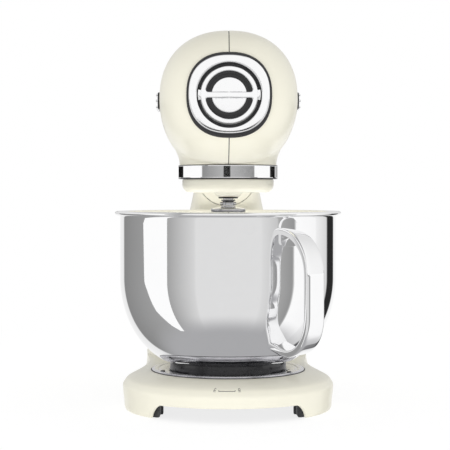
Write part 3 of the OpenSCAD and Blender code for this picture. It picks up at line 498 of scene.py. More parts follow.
opening = top_line / np.linalg.norm(top_line, axis=1)[:, None] * seat_opening_r
wall_share = 0.11
outside = skirt_levels(0.0)
outside[0] = base_level(np.interp(lower_edge, skirt[:, 1], skirt[:, 0]) + 0.004, lower_edge + 0.35)
edge_under = base_level(np.interp(lower_edge, skirt[:, 1], skirt[:, 0]) + 0.02, lower_edge)
outside += [base_level(share, z) for share, z in dome[1:]]
flat = [at_height(top_line * (1 - part) + opening * part, base_top_z) for part in (0.3, 0.65, 1)]
ceiling = [at_height(top_line * (1 - part) + opening * part, base_top_z - 3) for part in (1, 0.5, 0)]
inner_dome = [base_level(share + wall_share, z - 3 * share**0.3) for share, z in dome[-2:0:-3]]
inside = inner_dome + skirt_levels(wall_share)[::-1]
rings = np.array([edge_under] + outside + flat + ceiling + inside)
base_shell = piece_of("base_shell", rings, grid_faces(*rings.shape[:2], round_rows=True), sharp=40)
base_shell.visible_glossy = False  # the bowl above it shows the studio, as it was lit
fit(base_shell, cream_enamel, "base", "cream_paint", "base_casting")


# ---------- rubber feet and bottom plate ----------
# Four moulded rubber feet stand proud of the bottom plate. The front pair follow the round skirt, the rear
# pair are round. Each has a softened edge and a round well with the screw that holds it.

def signed_power(value, power):
    """Power of the size of value, with value's own sign."""
    return np.sign(value) * np.abs(value) ** power


def superellipse(half_x, half_y, exponent, count=96):
    """Closed outline |x/a|^n + |y/b|^n = 1, as count points."""
    t = 2 * pi * np.arange(count) / count
    power = 2 / exponent
    return np.stack([half_x * signed_power(np.cos(t), power), half_y * signed_power(np.sin(t), power)], -1)


def solid_of(name, rings, sharp=32):
    """Closed solid through the rings, with flat ends."""
    rings = np.array(rings)
    rows, count = rings.shape[:2]
    ends = [list(range(count)), list(range((rows - 1) * count, rows * count))]
    return piece_of(name, rings, grid_faces(rows, count) + ends, sharp)


rubber = finish(
    "rubber", (0.028, 0.028, 0.03), 0.62, 0.8, cloud=60, grain=(900, (1, 1, 1), 0.5, 6e-5),
    worn=(0.11, 0.11, 0.11), wear=0.6, tint=0.1,
)
foot_well_r, foot_half = 4.5, 14.9
front_foot_reach, front_foot_angle, front_foot_half_angle, front_foot_end_x = 90, 55, 9.5, 66.0
rear_feet = np.array([71.6, 214])  # beside the middle, and behind the bowl's axis
hands = (("left", -1), ("right", 1))
foot_rows = [  # height, and how far the edge is drawn in
    (13.5, 0.5), (13.0, 0.1), (12.4, 0.0), (8.2, 0.0), (7.8, 0.35), (7.2, 0.35), (6.8, 0.0), (2.2, 0.0),
    (1.0, 0.35), (0.3, 1.0), (0.0, 1.9),
]


def foot(name, outline, place):
    """Foot from an outline about its screw: rows of it from the top down, a flat sole, and the screw's well.
    place maps the outline's own plane to the base's."""
    rows = []
    size = np.linalg.norm(outline, axis=1)[:, None]
    for z, drawn_in in foot_rows:
        rows.append(at_height(place(outline * (1 - drawn_in / size)), z))
    turn = np.arctan2(outline[:, 1], outline[:, 0])
    for radius, z in ((foot_well_r + 0.5, 0.0), (foot_well_r, 0.5), (foot_well_r, 4.0)):
        rows.append(at_height(place(polar(radius, turn)), z))
    return solid_of(name, rows)


def along_skirt(side):
    """Place of a front foot: its x runs outwards from the bowl's axis and its y along a circle about it. Past
    the screw's well, the end towards the middle turns until it is square to the front, 66 mm from the
    middle."""
    def place(plan):
        """Points of the foot's own plan, in the base's."""
        reach = front_foot_reach + plan[:, 0]
        angle = front_foot_angle + plan[:, 1] * front_foot_half_angle / foot_half
        cut = np.degrees(np.arcsin(front_foot_end_x / reach))
        clear_of_well, near_end = 5.2, 14.7
        past_well = np.clip((-plan[:, 1] - clear_of_well) / (near_end - clear_of_well), 0, 1)
        angle += past_well * (cut - (front_foot_angle - 9.4))
        turn = side * np.radians(angle)
        return np.stack([reach * np.sin(turn), -reach * np.cos(turn)], -1)
    return place


def beside(centre):
    """Place of a rear foot, about its centre."""
    return lambda plan: plan + centre


feet = [
    foot("foot_front_" + label, superellipse(9.9, foot_half, 7), along_skirt(side))
    for label, side in hands
]
feet += [
    foot("foot_rear_" + label, superellipse(foot_half, foot_half, 2), beside(rear_feet * (side, 1)))
    for label, side in hands
]
for made in feet:
    fit(made, rubber, "base", "rubber", "rubber_feet")


def refinish(material, *nodes):
    """A better material on CAD nodes whose shape is right."""
    for name in nodes:
        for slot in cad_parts[name].material_slots:
            slot.material = material


plated_steel = metal(
    "plated_steel", (0.62, 0.61, 0.58), 0.22, 0.4, cloud=60, grain=(350, (1, 1, 1), 0.12, 2e-5), tint=0.06,
)
black_plate = finish(
    "black_painted_plate", (0.03, 0.03, 0.032), 0.45, 0.6, cloud=30, grain=(1200, (1, 1, 1), 0.3, 3e-5),
    worn=(0.3, 0.3, 0.3), wear=0.5, tint=0.08,
)
refinish(plated_steel, "bottom_screws")
refinish(black_plate, "bottom_plate")
for hidden in feet + [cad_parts[name] for name in ("bottom_plate", "bottom_screws")]:
    hidden.visible_glossy = False


# ---------- bowl seat ----------
# Pressed and polished steel ring, let into the top of the base and held by three screws. A thin black ring
# round its foot is painted shade.
# Three notches in its inner lip let the lugs of the bowl's foot drop in before they turn under it.

def turned_piece(name, profile, centre=(0, 0), count=160, closed=True, axis="z", sharp=32):
    """Profile of (radius, place along the axis) carried round that axis. The centre gives the axis's place
    in the other two directions, in the order x, y, z. A profile that isn't closed starts and ends on the
    axis."""
    profile = np.asarray(profile, float)
    turn = 2 * pi * np.arange(count) / count
    radius, along = profile[:, 0, None], profile[:, 1, None] + 0 * turn
    points = [centre[0] + radius * np.cos(turn), centre[1] + radius * np.sin(turn)]
    points.insert("xyz".index(axis), along)
    return piece_of(name, np.stack(points, -1), grid_faces(len(profile), count, round_rows=closed), sharp)


def rounded(corners, steps=5, closed=True):
    """Outline through corners (x, y, r), in which an arc of radius r that touches both sides replaces each
    corner with r above 0."""
    outline = []
    count = len(corners)
    for i, (cx, cy, r) in enumerate(corners):
        corner = np.array([cx, cy], float)
        if r <= 0 or (not closed and i in (0, count - 1)):
            outline.append(corner)
            continue
        to_last = np.array(corners[i - 1][:2]) - corner
        to_next = np.array(corners[(i + 1) % count][:2]) - corner
        to_last, to_next = to_last / np.linalg.norm(to_last), to_next / np.linalg.norm(to_next)
        middle_way = to_last + to_next
        half = np.arccos(np.clip(to_last @ to_next, -1, 1)) / 2
        centre = corner + middle_way / np.linalg.norm(middle_way) * r / sin(half)
        first, last = corner + to_last * r / tan(half) - centre, corner + to_next * r / tan(half) - centre
        swing = pi - 2 * half
        for part in np.linspace(0, 1, steps + 1):
            outline.append(centre + (first * sin((1 - part) * swing) + last * sin(part * swing)) / sin(swing))
    return np.array(outline)


polished_ring = metal(
    "polished_ring", (0.66, 0.655, 0.68), 0.16, 0.26, cloud=14, grain=(60, (2, 2, 40), 0.05, 1e-5),
    worn=(0.8, 0.8, 0.8), wear=0.3,
)
lip_r, notch_r, ring_width = 59.2, 61.7, 18.0
notch_at, notch_half = 93, 14
around = np.radians(np.arange(0, 360, 0.75))
from_notch = np.abs((np.degrees(around) - notch_at + 60) % 120 - 60)
lip = lip_r + (notch_r - lip_r) * smooth_step((notch_half + 0.5 - from_notch) / 1.0)
ring_profile = rounded([
    (0, 36.5, 0.2), (0, 38.5, 0.3), (4.5, 39.2, 2), (9.9, 39.5, 0.2), (10.3, 39.15, 0.2), (10.9, 39.15, 0.2),
    (11.3, 39.6, 0.2), (15.2, 39.85, 0.6), (16.0, 39.75, 0.3), (16.4, 39.2, 0.2), (17.0, 39.1, 0.2),
    (17.7, 38.9, 0.4), (18.0, 38.02, 0), (2.8, 38.02, 0), (2.8, 36.5, 0),
])
share = np.clip(ring_profile[:, 0, None] / ring_width, 0, 1)
radius = np.where(ring_profile[:, 0, None] < 3, lip + ring_profile[:, 0, None], lip_r + share * ring_width)
points = at_height(polar(radius, around), ring_profile[:, 1, None])
seat_ring = piece_of("seat_ring", points, grid_faces(*points.shape[:2], round_rows=True))
fit(seat_ring, polished_ring, "base", "chrome_trim", "bowl_seat_ring")
# Painted shade: a thin black ring round the seat ring's outer foot draws the shadow line where it meets the
# base.
seat_shadow_ring = turned_piece("seat_shadow_ring", rounded([
    (76.6, 37.7, 0), (77.9, 37.7, 0), (77.9, 38.25, 0.25), (77.25, 38.75, 0.2), (76.6, 38.4, 0),
], 3), count=256)
fit(seat_shadow_ring, rubber, "base", "black_plastic")


def socket_screw(name, centre, base_z, radius, height):
    """Domed screw head with a hexagonal socket: rings of a dome, then of the hexagon, sunk and closed."""
    turn = 2 * pi * np.arange(48) / 48
    hexagon = cos(pi / 6) / np.cos((turn + pi / 6) % (pi / 3) - pi / 6)
    rings = [  # share of the radius, share of the height, shape
        (1, 0.0, 1), (1, 0.45, 1), (0.9, 0.75, 1), (0.7, 0.95, 1), (0.56, 1, 1), (0.5, 1, hexagon),
        (0.48, 0.35, hexagon),
    ]
    return solid_of(name, [
        at_height(centre + polar(radius * r * shape, turn), base_z + height * z) for r, z, shape in rings
    ])


dark_screw = metal("dark_screw", (0.12, 0.12, 0.125), 0.3, 0.45, cloud=80)
for i in range(3):
    turn = radians(120 * i + 86)
    head = socket_screw("seat_screw_%d" % (i + 1), (72 * cos(turn), 72 * sin(turn)), 39.7, 2.4, 1.1)
    fit(head, dark_screw, "base", "machined_steel", "seat_screws")


# Printed on the front of the base: the way to turn the bowl, from open to locked. The marks are thin ink
# that follows the casting's shoulder.
shoulder = np.array([(base_front_r - share * (base_front_r - flat_front_r), z) for share, z in dome])
ink = finish("printed_ink", (0.03, 0.03, 0.03), 0.5, 0.6, cloud=200)


def on_shoulder(plan, proud=0.06):
    """Points on the base's front shoulder from points of (distance to the side, height)."""
    x, z = plan[..., 0], plan[..., 1]
    radius = np.interp(z, shoulder[:, 1], shoulder[:, 0]) + proud
    turn = x / base_front_r
    return np.stack([radius * np.sin(turn), -radius * np.cos(turn), z + proud * 0.6], -1)


def left_of(path):
    """Unit vectors square to a flat path, towards its left."""
    along = np.gradient(path, axis=0)
    return np.stack([-along[:, 1], along[:, 0]], -1) / np.linalg.norm(along, axis=1)[:, None]


def stroke(path, width, laid):
    """Flat stroke of that width along a flat path; laid puts its points on the surface it is printed on."""
    side = left_of(path) * width / 2
    edges = laid(np.stack([path - side, path + side], 1))
    return piece_of("stroke", edges, grid_faces(len(path), 2, round_columns=False))


def ink_stroke(path, width):
    """Stroke along a path of (distance to the side, height) on the shoulder."""
    path = smooth_through(path, 6) if len(path) > 2 else np.linspace(path[0], path[1], 16)
    return stroke(path, width, on_shoulder)


def merge(name, pieces):
    """The pieces as one object."""
    mesh = bpy.data.meshes.new(name)
    work = bmesh.new()
    for made in pieces:
        work.from_mesh(made.data)
    work.to_mesh(mesh)
    work.free()
    mesh.shade_smooth()
    mesh.set_sharp_from_angle(angle=radians(32))
    for made in pieces:
        bpy.data.objects.remove(made)
    made = bpy.data.objects.new(name, mesh)
    bpy.context.scene.collection.objects.link(made)
    return made


mark_x, mark_z = -2.1, 30.0
strokes = [ink_stroke([(mark_x - 8.0, mark_z), (mark_x + 8.0, mark_z)], 0.45)]
for side in (-1, 1):
    end = mark_x + side * 8.0
    strokes.append(ink_stroke([(end, mark_z - 0.2), (end, mark_z + 1.0)], 0.45))
    lock = mark_x + side * 12.2
    strokes.append(ink_stroke([(lock - 1.2, mark_z + 0.2), (lock + 1.2, mark_z + 0.2)], 1.5))
    lean = 0.55 if side < 0 else 0.0
    strokes.append(ink_stroke([
        (lock - 0.8 + lean, mark_z + 0.9), (lock - 0.75 + lean, mark_z + 1.8), (lock + lean, mark_z + 2.2),
        (lock + 0.75 + lean, mark_z + 1.8), (lock + 0.8 + lean, mark_z + (1.5 if side < 0 else 0.9)),
    ], 0.4))
lock_marks = merge("lock_marks", strokes)
lock_marks.visible_glossy = False
fit(lock_marks, ink, "base", "black_plastic")


# ---------- column ----------
# Cast with the base: a hollow leg that is wide at its foot and leans slightly forwards. Its top is cut out
# for the round keel under the head and for the hinge drum behind it, and a deck inside holds the hinge.

neck_half_w, neck_front, neck_back = 37.5, 124.0, 246.0
seam_z, seam_gap = 217.0, 0.6
keel_r, keel_z, keel_back = 32.0, 234.0, 190.0
pivot_y, pivot_z, drum_r = 228.0, 222.0, 18.0
deck_z = (196.5, 199.5)
button_z = 184.0


def column_ring(z, inset):
    """Section of the column at height z: a superellipse whose half width, front, back and squareness
    change with z, inset by a wall. The last 6 mm above the base spread outwards as a cast fillet."""
    h = 215 - z
    spread = 3.2 * (1 - sqrt(1 - ((44 - z) / 6) ** 2)) if 38 <= z < 44 and inset == 0 else 0.0
    half_w = min(min(88.6, neck_half_w + 0.2 * h + 5.85e-4 * h * h) + spread, 89.8) - inset
    front = neck_front - 26 * max(0.0, (150 - z) / 105) ** 2 + inset - spread
    back = neck_back + 0.6 + 15 * max(0.0, (210 - z) / 165) ** 1.2 - inset + min(spread, 0.6)
    squareness = 5 - 1.8 * float(smooth_step((200 - z) / 150))
    outline = superellipse(half_w, (back - front) / 2, squareness, 192) + (0, (front + back) / 2)
    return at_height(outline, z)


def block(low, high):
    """Rectangular cutter between two corners."""
    (x0, y0, z0), (x1, y1, z1) = low, high
    rings = [[(x0, y0, z), (x1, y0, z), (x1, y1, z), (x0, y1, z)] for z in (z0, z1)]
    return solid_of("cutter", rings)


def bar(radius, start, end, centre, axis):
    """Round cutter along that axis."""
    return turned_piece(
        "cutter", [(0, start), (radius, start), (radius, end), (0, end)], centre, 96, False, axis,
    )


def carve(target, *tools, operation="DIFFERENCE"):
    """Target with the tools cut from it, joined to it, or kept in common with it. The tools are used up."""
    for tool in tools:
        step = target.modifiers.new("cut", "BOOLEAN")
        step.operation, step.solver, step.object = operation, "MANIFOLD", tool
    bpy.context.view_layer.update()
    carved = bpy.data.meshes.new_from_object(target.evaluated_get(bpy.context.evaluated_depsgraph_get()))
    target.modifiers.clear()
    target.data = carved
    for tool in tools:
        bpy.data.objects.remove(tool)
    return target


def crisp(target, sharp=32):
    """Smooth shading, with edges sharper than that angle kept crisp."""
    target.data.shade_smooth()
    target.data.set_sharp_from_angle(angle=radians(sharp))
    return target


levels = np.concatenate([44 - 6 * np.cos(np.linspace(0, pi / 2, 7)), np.linspace(44, 222, 60)[1:]])
column_shell = solid_of("column_shell", [column_ring(z, 0) for z in levels])
hollow = solid_of("cutter", [column_ring(z, 4) for z in np.linspace(37, deck_z[0], 40)])
pocket = solid_of("cutter", [column_ring(z, 4) for z in np.linspace(deck_z[1], 224, 10)])
cutters = [
    hollow, pocket, block((-60, 100, seam_z - seam_gap), (60, 262, 240)),
    bar(keel_r + seam_gap, 100, keel_back + seam_gap + 1, (0, keel_z), "y"),
    bar(drum_r + seam_gap, -60, 60, (pivot_y, pivot_z), "x"), block((-60, pivot_y, 211), (60, 262, 240)),
    block((-9, 148, 190), (9, 172, 202)), bar(2.4, 190, 210, (-20, 206), "z"),
    bar(12, 230, 262, (0, button_z), "y"),
]
cutters += [
    block((side * 22.1 - 4.1, pivot_y - 10.1, 190), (side * 22.1 + 4.1, pivot_y + 2.6, 210))
    for side in (-1, 1)
]
crisp(carve(column_shell, *cutters))
fit(column_shell, cream_enamel, "base", "cream_paint", "column")

# The hinge, the gear frame, the latch's hook and the switch keep the shapes of the CAD
cast_metal = metal(
    "cast_metal", (0.42, 0.42, 0.41), 0.42, 0.6, cloud=30, grain=(500, (1, 1, 1), 0.5, 1e-4),
    worn=(0.75, 0.75, 0.74), wear=0.5, tint=0.1,
)
turned_steel = metal(
    "turned_steel", (0.68, 0.67, 0.65), 0.16, 0.3, cloud=40, grain=(900, (1, 1, 9), 0.25, 2e-5),
    worn=(0.88, 0.88, 0.87), wear=0.5, tint=0.05,
)
switch_plastic = finish(
    "switch_plastic", (0.035, 0.035, 0.04), 0.4, 0.55, cloud=60, grain=(900, (1, 1, 1), 0.4, 3e-5),
    worn=(0.12, 0.12, 0.13), wear=0.5, tint=0.1,
)
refinish(cast_metal, "hinge_cradle", "gear_frame")
refinish(turned_steel, "hinge_pin", "latch_strike")
refinish(switch_plastic, "tilt_switch")


# ---------- head ----------
# Two die castings, left and right, meet along the middle and hide the motor and gears. Below is a round
# neck over the bowl, and at the back a stub with a keel and the hinge drum. A thin dark seal fills the seam.

head_z, head_half_w, head_half_h = 306.6, 67.8, 69.2
brow_tuck, brow_drop = 0.012, 0.048
nose_y, tail_y = -45.0, 60.0
hub_front, head_back = -112.0, 286.0
neck_r = 48.7
band_r, band_top = 49.8, 243.8
shell_wall = 3.0
head_squareness = 2.25


def head_share(y):
    """Size of the head's section at y above its middle height, as a share of the largest: a blunt nose, an
    even middle and a long rounded tail."""
    nose = np.clip((nose_y - y) / 75.5, 0, 1)
    tail = np.clip((y - tail_y) / (head_back - tail_y), 0, 1)
    return np.where(y < tail_y, (1 - nose**2.6) ** (1 / 2.1), np.sqrt(1 - tail**2.4))


def belly_share(y):
    """Share of the half height left below the head's middle, where the underside rises towards the nose."""
    return (1 - np.clip((12 - y) / 135, 0, 1) ** 1.6) ** 0.31


def brow(y):
    """Bump from 0 to 1 and back over the nose, where the head is drawn in a little."""
    return np.sin(pi * np.clip((-5 - y) / 107, 0, 1)) ** 2


def head_form(inset, count=256):
    """Closed solid of the head: a superellipse that follows head_share along the head, less a share of brow
    in width and in the height of its upper half. Its lower half follows belly_share in front."""
    turn = np.linspace(0, pi / 2, 44)
    stations = np.concatenate([
        nose_y - (nose_y - hub_front) * np.cos(turn), np.linspace(nose_y, tail_y, 22)[1:-1],
        tail_y + (head_back - inset - tail_y) * np.sin(np.linspace(0, pi / 2, 56)[:-1]),
    ])
    rings = []
    for y in stations:
        size = float(head_share(y))
        below = min(size, float(belly_share(y)))
        half_w = head_half_w * (size - brow_tuck * brow(y)) - inset
        above = head_half_h * (size - brow_drop * brow(y)) - inset
        section = superellipse(half_w, 1, head_squareness, count)
        height = np.where(section[:, 1] > 0, above, head_half_h * below - inset)
        place = y - (1.0 if y == stations[0] and inset else 0.0)
        rings.append(np.stack([section[:, 0], np.full(count, place), section[:, 1] * height + head_z], -1))
    return solid_of("head_form", rings)


def underside(x, y):
    """Height of the head's underside at (x, y)."""
    size = head_share(y)
    drop = (1 - np.clip(np.abs(x) / (head_half_w * size), 0, 1) ** head_squareness) ** (1 / head_squareness)
    return head_z - head_half_h * np.minimum(size, belly_share(y)) * drop


def neck_fillet():
    """Ring that fills the corner between the round neck and the underside: at each angle a curve that leaves
    the neck upright and meets the underside along its slope. It overlaps the casting by its back."""
    turn = 2 * pi * np.arange(256) / 256
    towards = polar(1, turn)
    at_neck = underside(*(towards * neck_r).T)
    size = np.clip(0.95 * (at_neck - band_top - 0.05), 0.05, 11)
    far = neck_r + 1.25 * size
    at_far = np.maximum(underside(*(towards * far[:, None]).T), band_top + 0.12) + 0.02
    start = np.maximum(at_neck - size, band_top + 0.05)
    control = np.maximum(at_neck, band_top + 0.1)
    rows = [(45.8 + 0 * far, start), (45.8 + 0 * far, control + 2.5), (far, at_far + 2)]
    for t in np.linspace(1, 0, 14):
        radius = t * t * far + 2 * t * (1 - t) * neck_r + (1 - t) ** 2 * (neck_r - 0.01)
        rows.append((radius, t * t * at_far + 2 * t * (1 - t) * control + (1 - t) ** 2 * start))
    rings = [at_height(towards * radius[:, None], z) for radius, z in rows]
    return piece_of("neck_fillet", np.array(rings), grid_faces(len(rows), 256, round_rows=True))


def neck_stub(inset, low, high):
    """Upright stub at the back of the head, a superellipse in plan."""
    outline = superellipse(neck_half_w - inset, (neck_back - neck_front) / 2 - inset, 5, 192)
    outline = outline + (0, (neck_front + neck_back) / 2)
    return solid_of("neck_stub", [at_height(outline, z) for z in (low, high)])


def head_solid():
    """Outside of the head, one solid: body, neck over the bowl, and a stub whose underside is level but for
    the keel and the hinge drum."""
    body = carve(head_form(0), bar(band_r + 0.3, 190, band_top, (0, 0), "z"))
    neck = bar(neck_r, band_top, band_top + 45, (0, 0), "z")
    side = [(110, seam_z), (pivot_y, seam_z), (pivot_y, pivot_z), (262, pivot_z), (262, 300), (110, 300)]
    level = solid_of("cutter", [[(x_at, y, z) for y, z in side] for x_at in (-60, 60)])
    keel = bar(keel_r, neck_front - 1, keel_back, (0, keel_z), "y")
    drum = bar(drum_r, -60, 60, (pivot_y, pivot_z), "x")
    stub = carve(
        neck_stub(0, 195, head_z - 20), carve(level, keel, drum, operation="UNION"), operation="INTERSECT",
    )
    return carve(body, neck, stub, operation="UNION")


slide_from, slide_travel = 78.0, 50.0
swing = radians(28)
slot_far = [
    (y * cos(swing) - z * sin(swing), y * sin(swing) + z * cos(swing))
    for y, z in ((2.6, -30), (2.6, 0))
]
over_band = bar(band_r + 0.3 + shell_wall, 190, band_top + shell_wall, (0, 0), "z")
in_keel = bar(keel_r - shell_wall, neck_front, keel_back - shell_wall, (0, keel_z), "y")
hollows = [
    carve(head_form(shell_wall, 128), over_band),
    bar(neck_r - shell_wall, band_top - 1, band_top + 49, (0, 0), "z"),
    neck_stub(shell_wall, pivot_z + 2, head_z - 20),
    carve(neck_stub(shell_wall, 200, seam_z + 10), in_keel, operation="INTERSECT"),
    bar(drum_r - 4, -26.5, 26.5, (pivot_y, pivot_z), "x"), block((-6.4, 156.6, 200), (6.4, 163.4, 206)),
    bar(34, hub_front - 5, hub_front + 20, (0, head_z), "y"),
    block((-3.4, slide_from - 6, 350), (3.4, slide_from + slide_travel + 6, 400)),
]
for side in (-1, 1):
    slot = [(pivot_y + y, pivot_z + z) for y, z in [(-10.1, 0), (-10.1, -25), *slot_far]]
    middle_x = side * 22.1
    hollows.append(
        solid_of("cutter", [[(x_at, y, z) for y, z in slot] for x_at in (middle_x - 4.1, middle_x + 4.1)]),
    )
head_casting = carve(head_solid(), *hollows)
for label, side in hands:
    half = head_casting.copy()
    bpy.context.scene.collection.objects.link(half)
    near, far = sorted((side * 0.42, side * 100))
    fillet = neck_fillet()
    for kept in (half, fillet):
        carve(kept, block((near, -150, 190), (far, 330, 420)), operation="INTERSECT")
    half = merge("head_casting_" + label, [crisp(half, 30), fillet])
    fit(half, cream_enamel, "head", "cream_paint", "head_shell_" + label)
bpy.data.objects.remove(head_casting)


def seal(line, half_width=0.4, depth=2.4):
    """Flat strip along a line of (y, height) on the head's surface, in the middle of the seam: its outer edge
    lies 0.5 mm inside the surface, its inner edge that depth further in."""
    line = np.asarray(line, float)
    rows = []
    for x_at, inset in ((-half_width, 0.5), (half_width, 0.5), (half_width, depth), (-half_width, depth)):
        edge = line + left_of(line) * inset
        rows.append(np.concatenate([np.full((len(line), 1), x_at), edge], -1))
    return solid_of("seal", np.swapaxes(np.array(rows), 0, 1))


def crest(start, end, count=60):
    """Line over the top of the head between two places along it."""
    y = start + (end - start) * (1 - np.cos(np.linspace(0, pi / 2, count)))
    return np.stack([y, head_z + head_half_h * (head_share(y) - brow_drop * brow(y))], -1)


def keel_line(y):
    """Line along the middle of the head's underside."""
    return np.stack([y, underside(0.0, y)], -1)


tail_y_at = tail_y + (head_back - 0.3 - tail_y) * np.sin(np.linspace(radians(20), pi / 2, 60))
over_tail = np.stack([tail_y_at, head_z + head_half_h * head_share(tail_y_at)], -1)
under_tail = np.stack([tail_y_at[::-1], head_z - head_half_h * head_share(tail_y_at[::-1])], -1)
over_tail, under_tail = over_tail[tail_y_at > 136], under_tail[under_tail[:, 0] > 247]
seals = [
    seal(line[::-1]) for line in (
        crest(-111.2, 71.0), keel_line(np.linspace(-49.5, -111.2, 50)), keel_line(np.linspace(122, 51, 20)),
        np.concatenate([over_tail, under_tail]), [(neck_back, z) for z in np.linspace(258, 221, 12)],
    )
]
seam_seal = merge("seam_seal", seals)
fit(seam_seal, rubber, "head", "rubber")


# ---------- front bezel and cap ----------
# A chromed die-cast bezel frames the attachment hub, on a thin black ring that is painted shade: the dark
# shadow and reflection round the bezel's edge. The cap over it is one chromed casting with a ring, a grip
# bar, a domed middle and two lugs that lock it. Black rings in its channel and in the groove round it are
# painted shade, for the dark reflections there.

def ahead(outline, depth):
    """Outline of (x, height from the hub's middle) at a depth in front of the head's nose."""
    outline = np.asarray(outline, float)
    depth = np.broadcast_to(depth, outline.shape[:1])
    return np.stack([outline[:, 0], hub_front - depth, outline[:, 1] + head_z], -1)


def frame_ring(name, outer, inner, levels, sharp=32):
    """Closed ring between two outlines: levels are (share of the way from inner to outer, depth)."""
    rings = [ahead(inner + (outer - inner) * share, depth) for share, depth in levels]
    return piece_of(name, np.array(rings), grid_faces(len(levels), len(outer), round_rows=True), sharp)


def circle(radius, count):
    """Circle as count points."""
    return superellipse(radius, radius, 2, count)


bright_chrome = metal(
    "bright_chrome", (0.98, 0.98, 0.985), 0.03, 0.07, cloud=12, grain=(300, (1, 1, 1), 0.03, 3e-6),
    worn=(0.98, 0.98, 0.98), wear=0.2, tint=0.015,
)
# Painted shade: a thin black ring round the bezel draws the dark shadow and reflection at its edge.
bezel_shade_outline = superellipse(39.75, 39.7, 2.35, 240)
bezel_shade = frame_ring("bezel_shade_ring", bezel_shade_outline, circle(33.6, 240), [
    (0.0, -3.0), (0.0, 0.5), (0.5, 0.8), (0.8, 1.5), (0.9, 1.6), (0.96, 1.45), (1.0, 1.0), (1.0, 0.02),
    (0.4, 0.02), (0.1, 0.02), (0.1, -3.0),
])
fit(bezel_shade, rubber, "head", "rubber")
face_outline = superellipse(37.5, 36.4, 2.35, 240) + (0, 0.7)
bezel_face = frame_ring("bezel_face", face_outline, circle(30.2, 240), [
    (0.0, -2.4), (0.0, 2.2), (0.04, 2.6), (0.1, 2.78), (0.16, 2.8), (0.84, 2.8), (0.9, 2.78), (0.96, 2.6),
    (1.0, 2.2), (1.0, 0.7), (0.5, 0.7), (0.4, 0.5), (0.4, -2.4),
])
fit(bezel_face, bright_chrome, "head", "chrome_trim", "hub_bezel")
# Painted shade: a black ring fills the groove between the cap and the bezel, where it is dark.
cap_groove_shade = frame_ring("hub_groove_shade", circle(30.1, 160), circle(27.2, 160), [
    (0.0, -2.9), (0.0, -1.6), (0.25, -1.5), (0.4, -1.5), (0.45, -1.1), (0.55, -1.0), (0.65, -1.1),
    (0.7, -1.5), (0.85, -1.5), (1.0, -1.7), (1.0, -2.9),
])
fit(cap_groove_shade, rubber, "head", "rubber")


def soft_union(first, second, reach):
    """Distance to the union of two shapes, with the corner between them filled over that reach."""
    near = np.clip(0.5 + 0.5 * (second - first) / reach, 0, 1)
    return second * (1 - near) + first * near - reach * near * (1 - near)


def quarter_round(distance, radius):
    """Fall of a surface towards an edge at distance 0: nothing deeper inside than radius, then a quarter
    circle, then a steep wall."""
    inside = np.clip((distance + radius) / radius, 0, 1)
    return radius * (1 - np.sqrt(1 - inside**2)) + 9 * np.clip(distance, 0, None)


cap_r, ring_inner_r, dome_r, bar_half = 26.6, 22.2, 16.4, 2.8
near_bar = np.linspace(-14, 14, 113)
away = np.linspace(14, 166, 77)[1:-1]
spokes = np.radians(np.concatenate([near_bar, away, near_bar + 180, away + 180]))  # closer near the bar
reach = np.concatenate([
    [0.05], np.linspace(0.5, 15.2, 30), np.linspace(15.4, 16.8, 15), np.linspace(17.3, 21.6, 9),
    np.linspace(21.8, 23.4, 15), np.linspace(23.8, 25.2, 4), np.linspace(25.5, cap_r, 12),
])[:, None]
x_at, z_at = reach * np.cos(spokes), reach * np.sin(spokes)
rail = soft_union(np.abs(reach - (cap_r + ring_inner_r) / 2) - (cap_r - ring_inner_r) / 2,
                  np.maximum(np.abs(z_at) - bar_half, np.abs(x_at) - 24), 3.0)
rail_height = 3.5 - quarter_round(rail, 0.9)
dome_height = 1.8 - 0.1 * (reach / dome_r) ** 2 - quarter_round(reach - dome_r, 0.8) + 0 * x_at
front = np.maximum(np.maximum(rail_height, dome_height), -0.9)
front = np.where(reach > cap_r - 0.01, 2.4, front)
sides = [(26.4, -1.0), (26.4, -2.6), (19.7, -2.6), (19.7, -15), (16.7, -15), (16.7, -2.7), (0.05, -2.7)]
rows = [ahead(np.stack([x_row, z_row], -1), depth) for x_row, z_row, depth in zip(x_at, z_at, front)]
rows += [ahead(polar(r, spokes), depth) for r, depth in sides]
cap_face = solid_of("cap_face", rows, 40)


def lug(side):
    """Flat lug on the cap's rim, a sector with softened edges."""
    turn = np.radians(np.linspace(-10, 10, 13))
    plan = np.concatenate([polar(25.6, turn), polar(29.2, turn)[::-1]]) * (side, 1)
    middle_at = np.array([side * 27.4, 0])
    levels = ((-1.0, 0.0), (1.7, 0.0), (2.15, 0.14), (2.3, 0.4))
    return solid_of(
        "lug", [ahead(plan + (middle_at - plan) * inset * (0.7, 0.35), depth) for depth, inset in levels],
    )


cap = merge("cap", [cap_face, lug(-1), lug(1)])
fit(cap, bright_chrome, "hub_cap", "chrome_trim", "hub_cap")
# Gloss black: the speed scale's own colour, and the painted shade of the rings in the cap, round the band and
# under the trims.
black_scale_and_shade = finish(
    "black_scale_and_shade", (0.012, 0.012, 0.013), 0.15, 0.3, cloud=90, grain=(900, (1, 1, 1), 0.2, 2e-5),
)
# Painted shade: a black ring in the cap's channel, for the dark reflections in it.
channel = frame_ring("cap_channel_shade", circle(22.6, 160), circle(15.9, 160), [
    (0.0, -0.85), (0.0, -0.3), (0.1, -0.25), (0.48, -0.25), (0.5, 0.05), (0.54, 0.2), (0.6, 0.2),
    (0.64, 0.05), (0.66, -0.25), (0.9, -0.25), (1.0, -0.35), (1.0, -0.85),
])
fit(channel, black_scale_and_shade, "hub_cap", "black_plastic")
refinish(cast_metal, "attachment_hub")
refinish(turned_steel, "hub_drive")
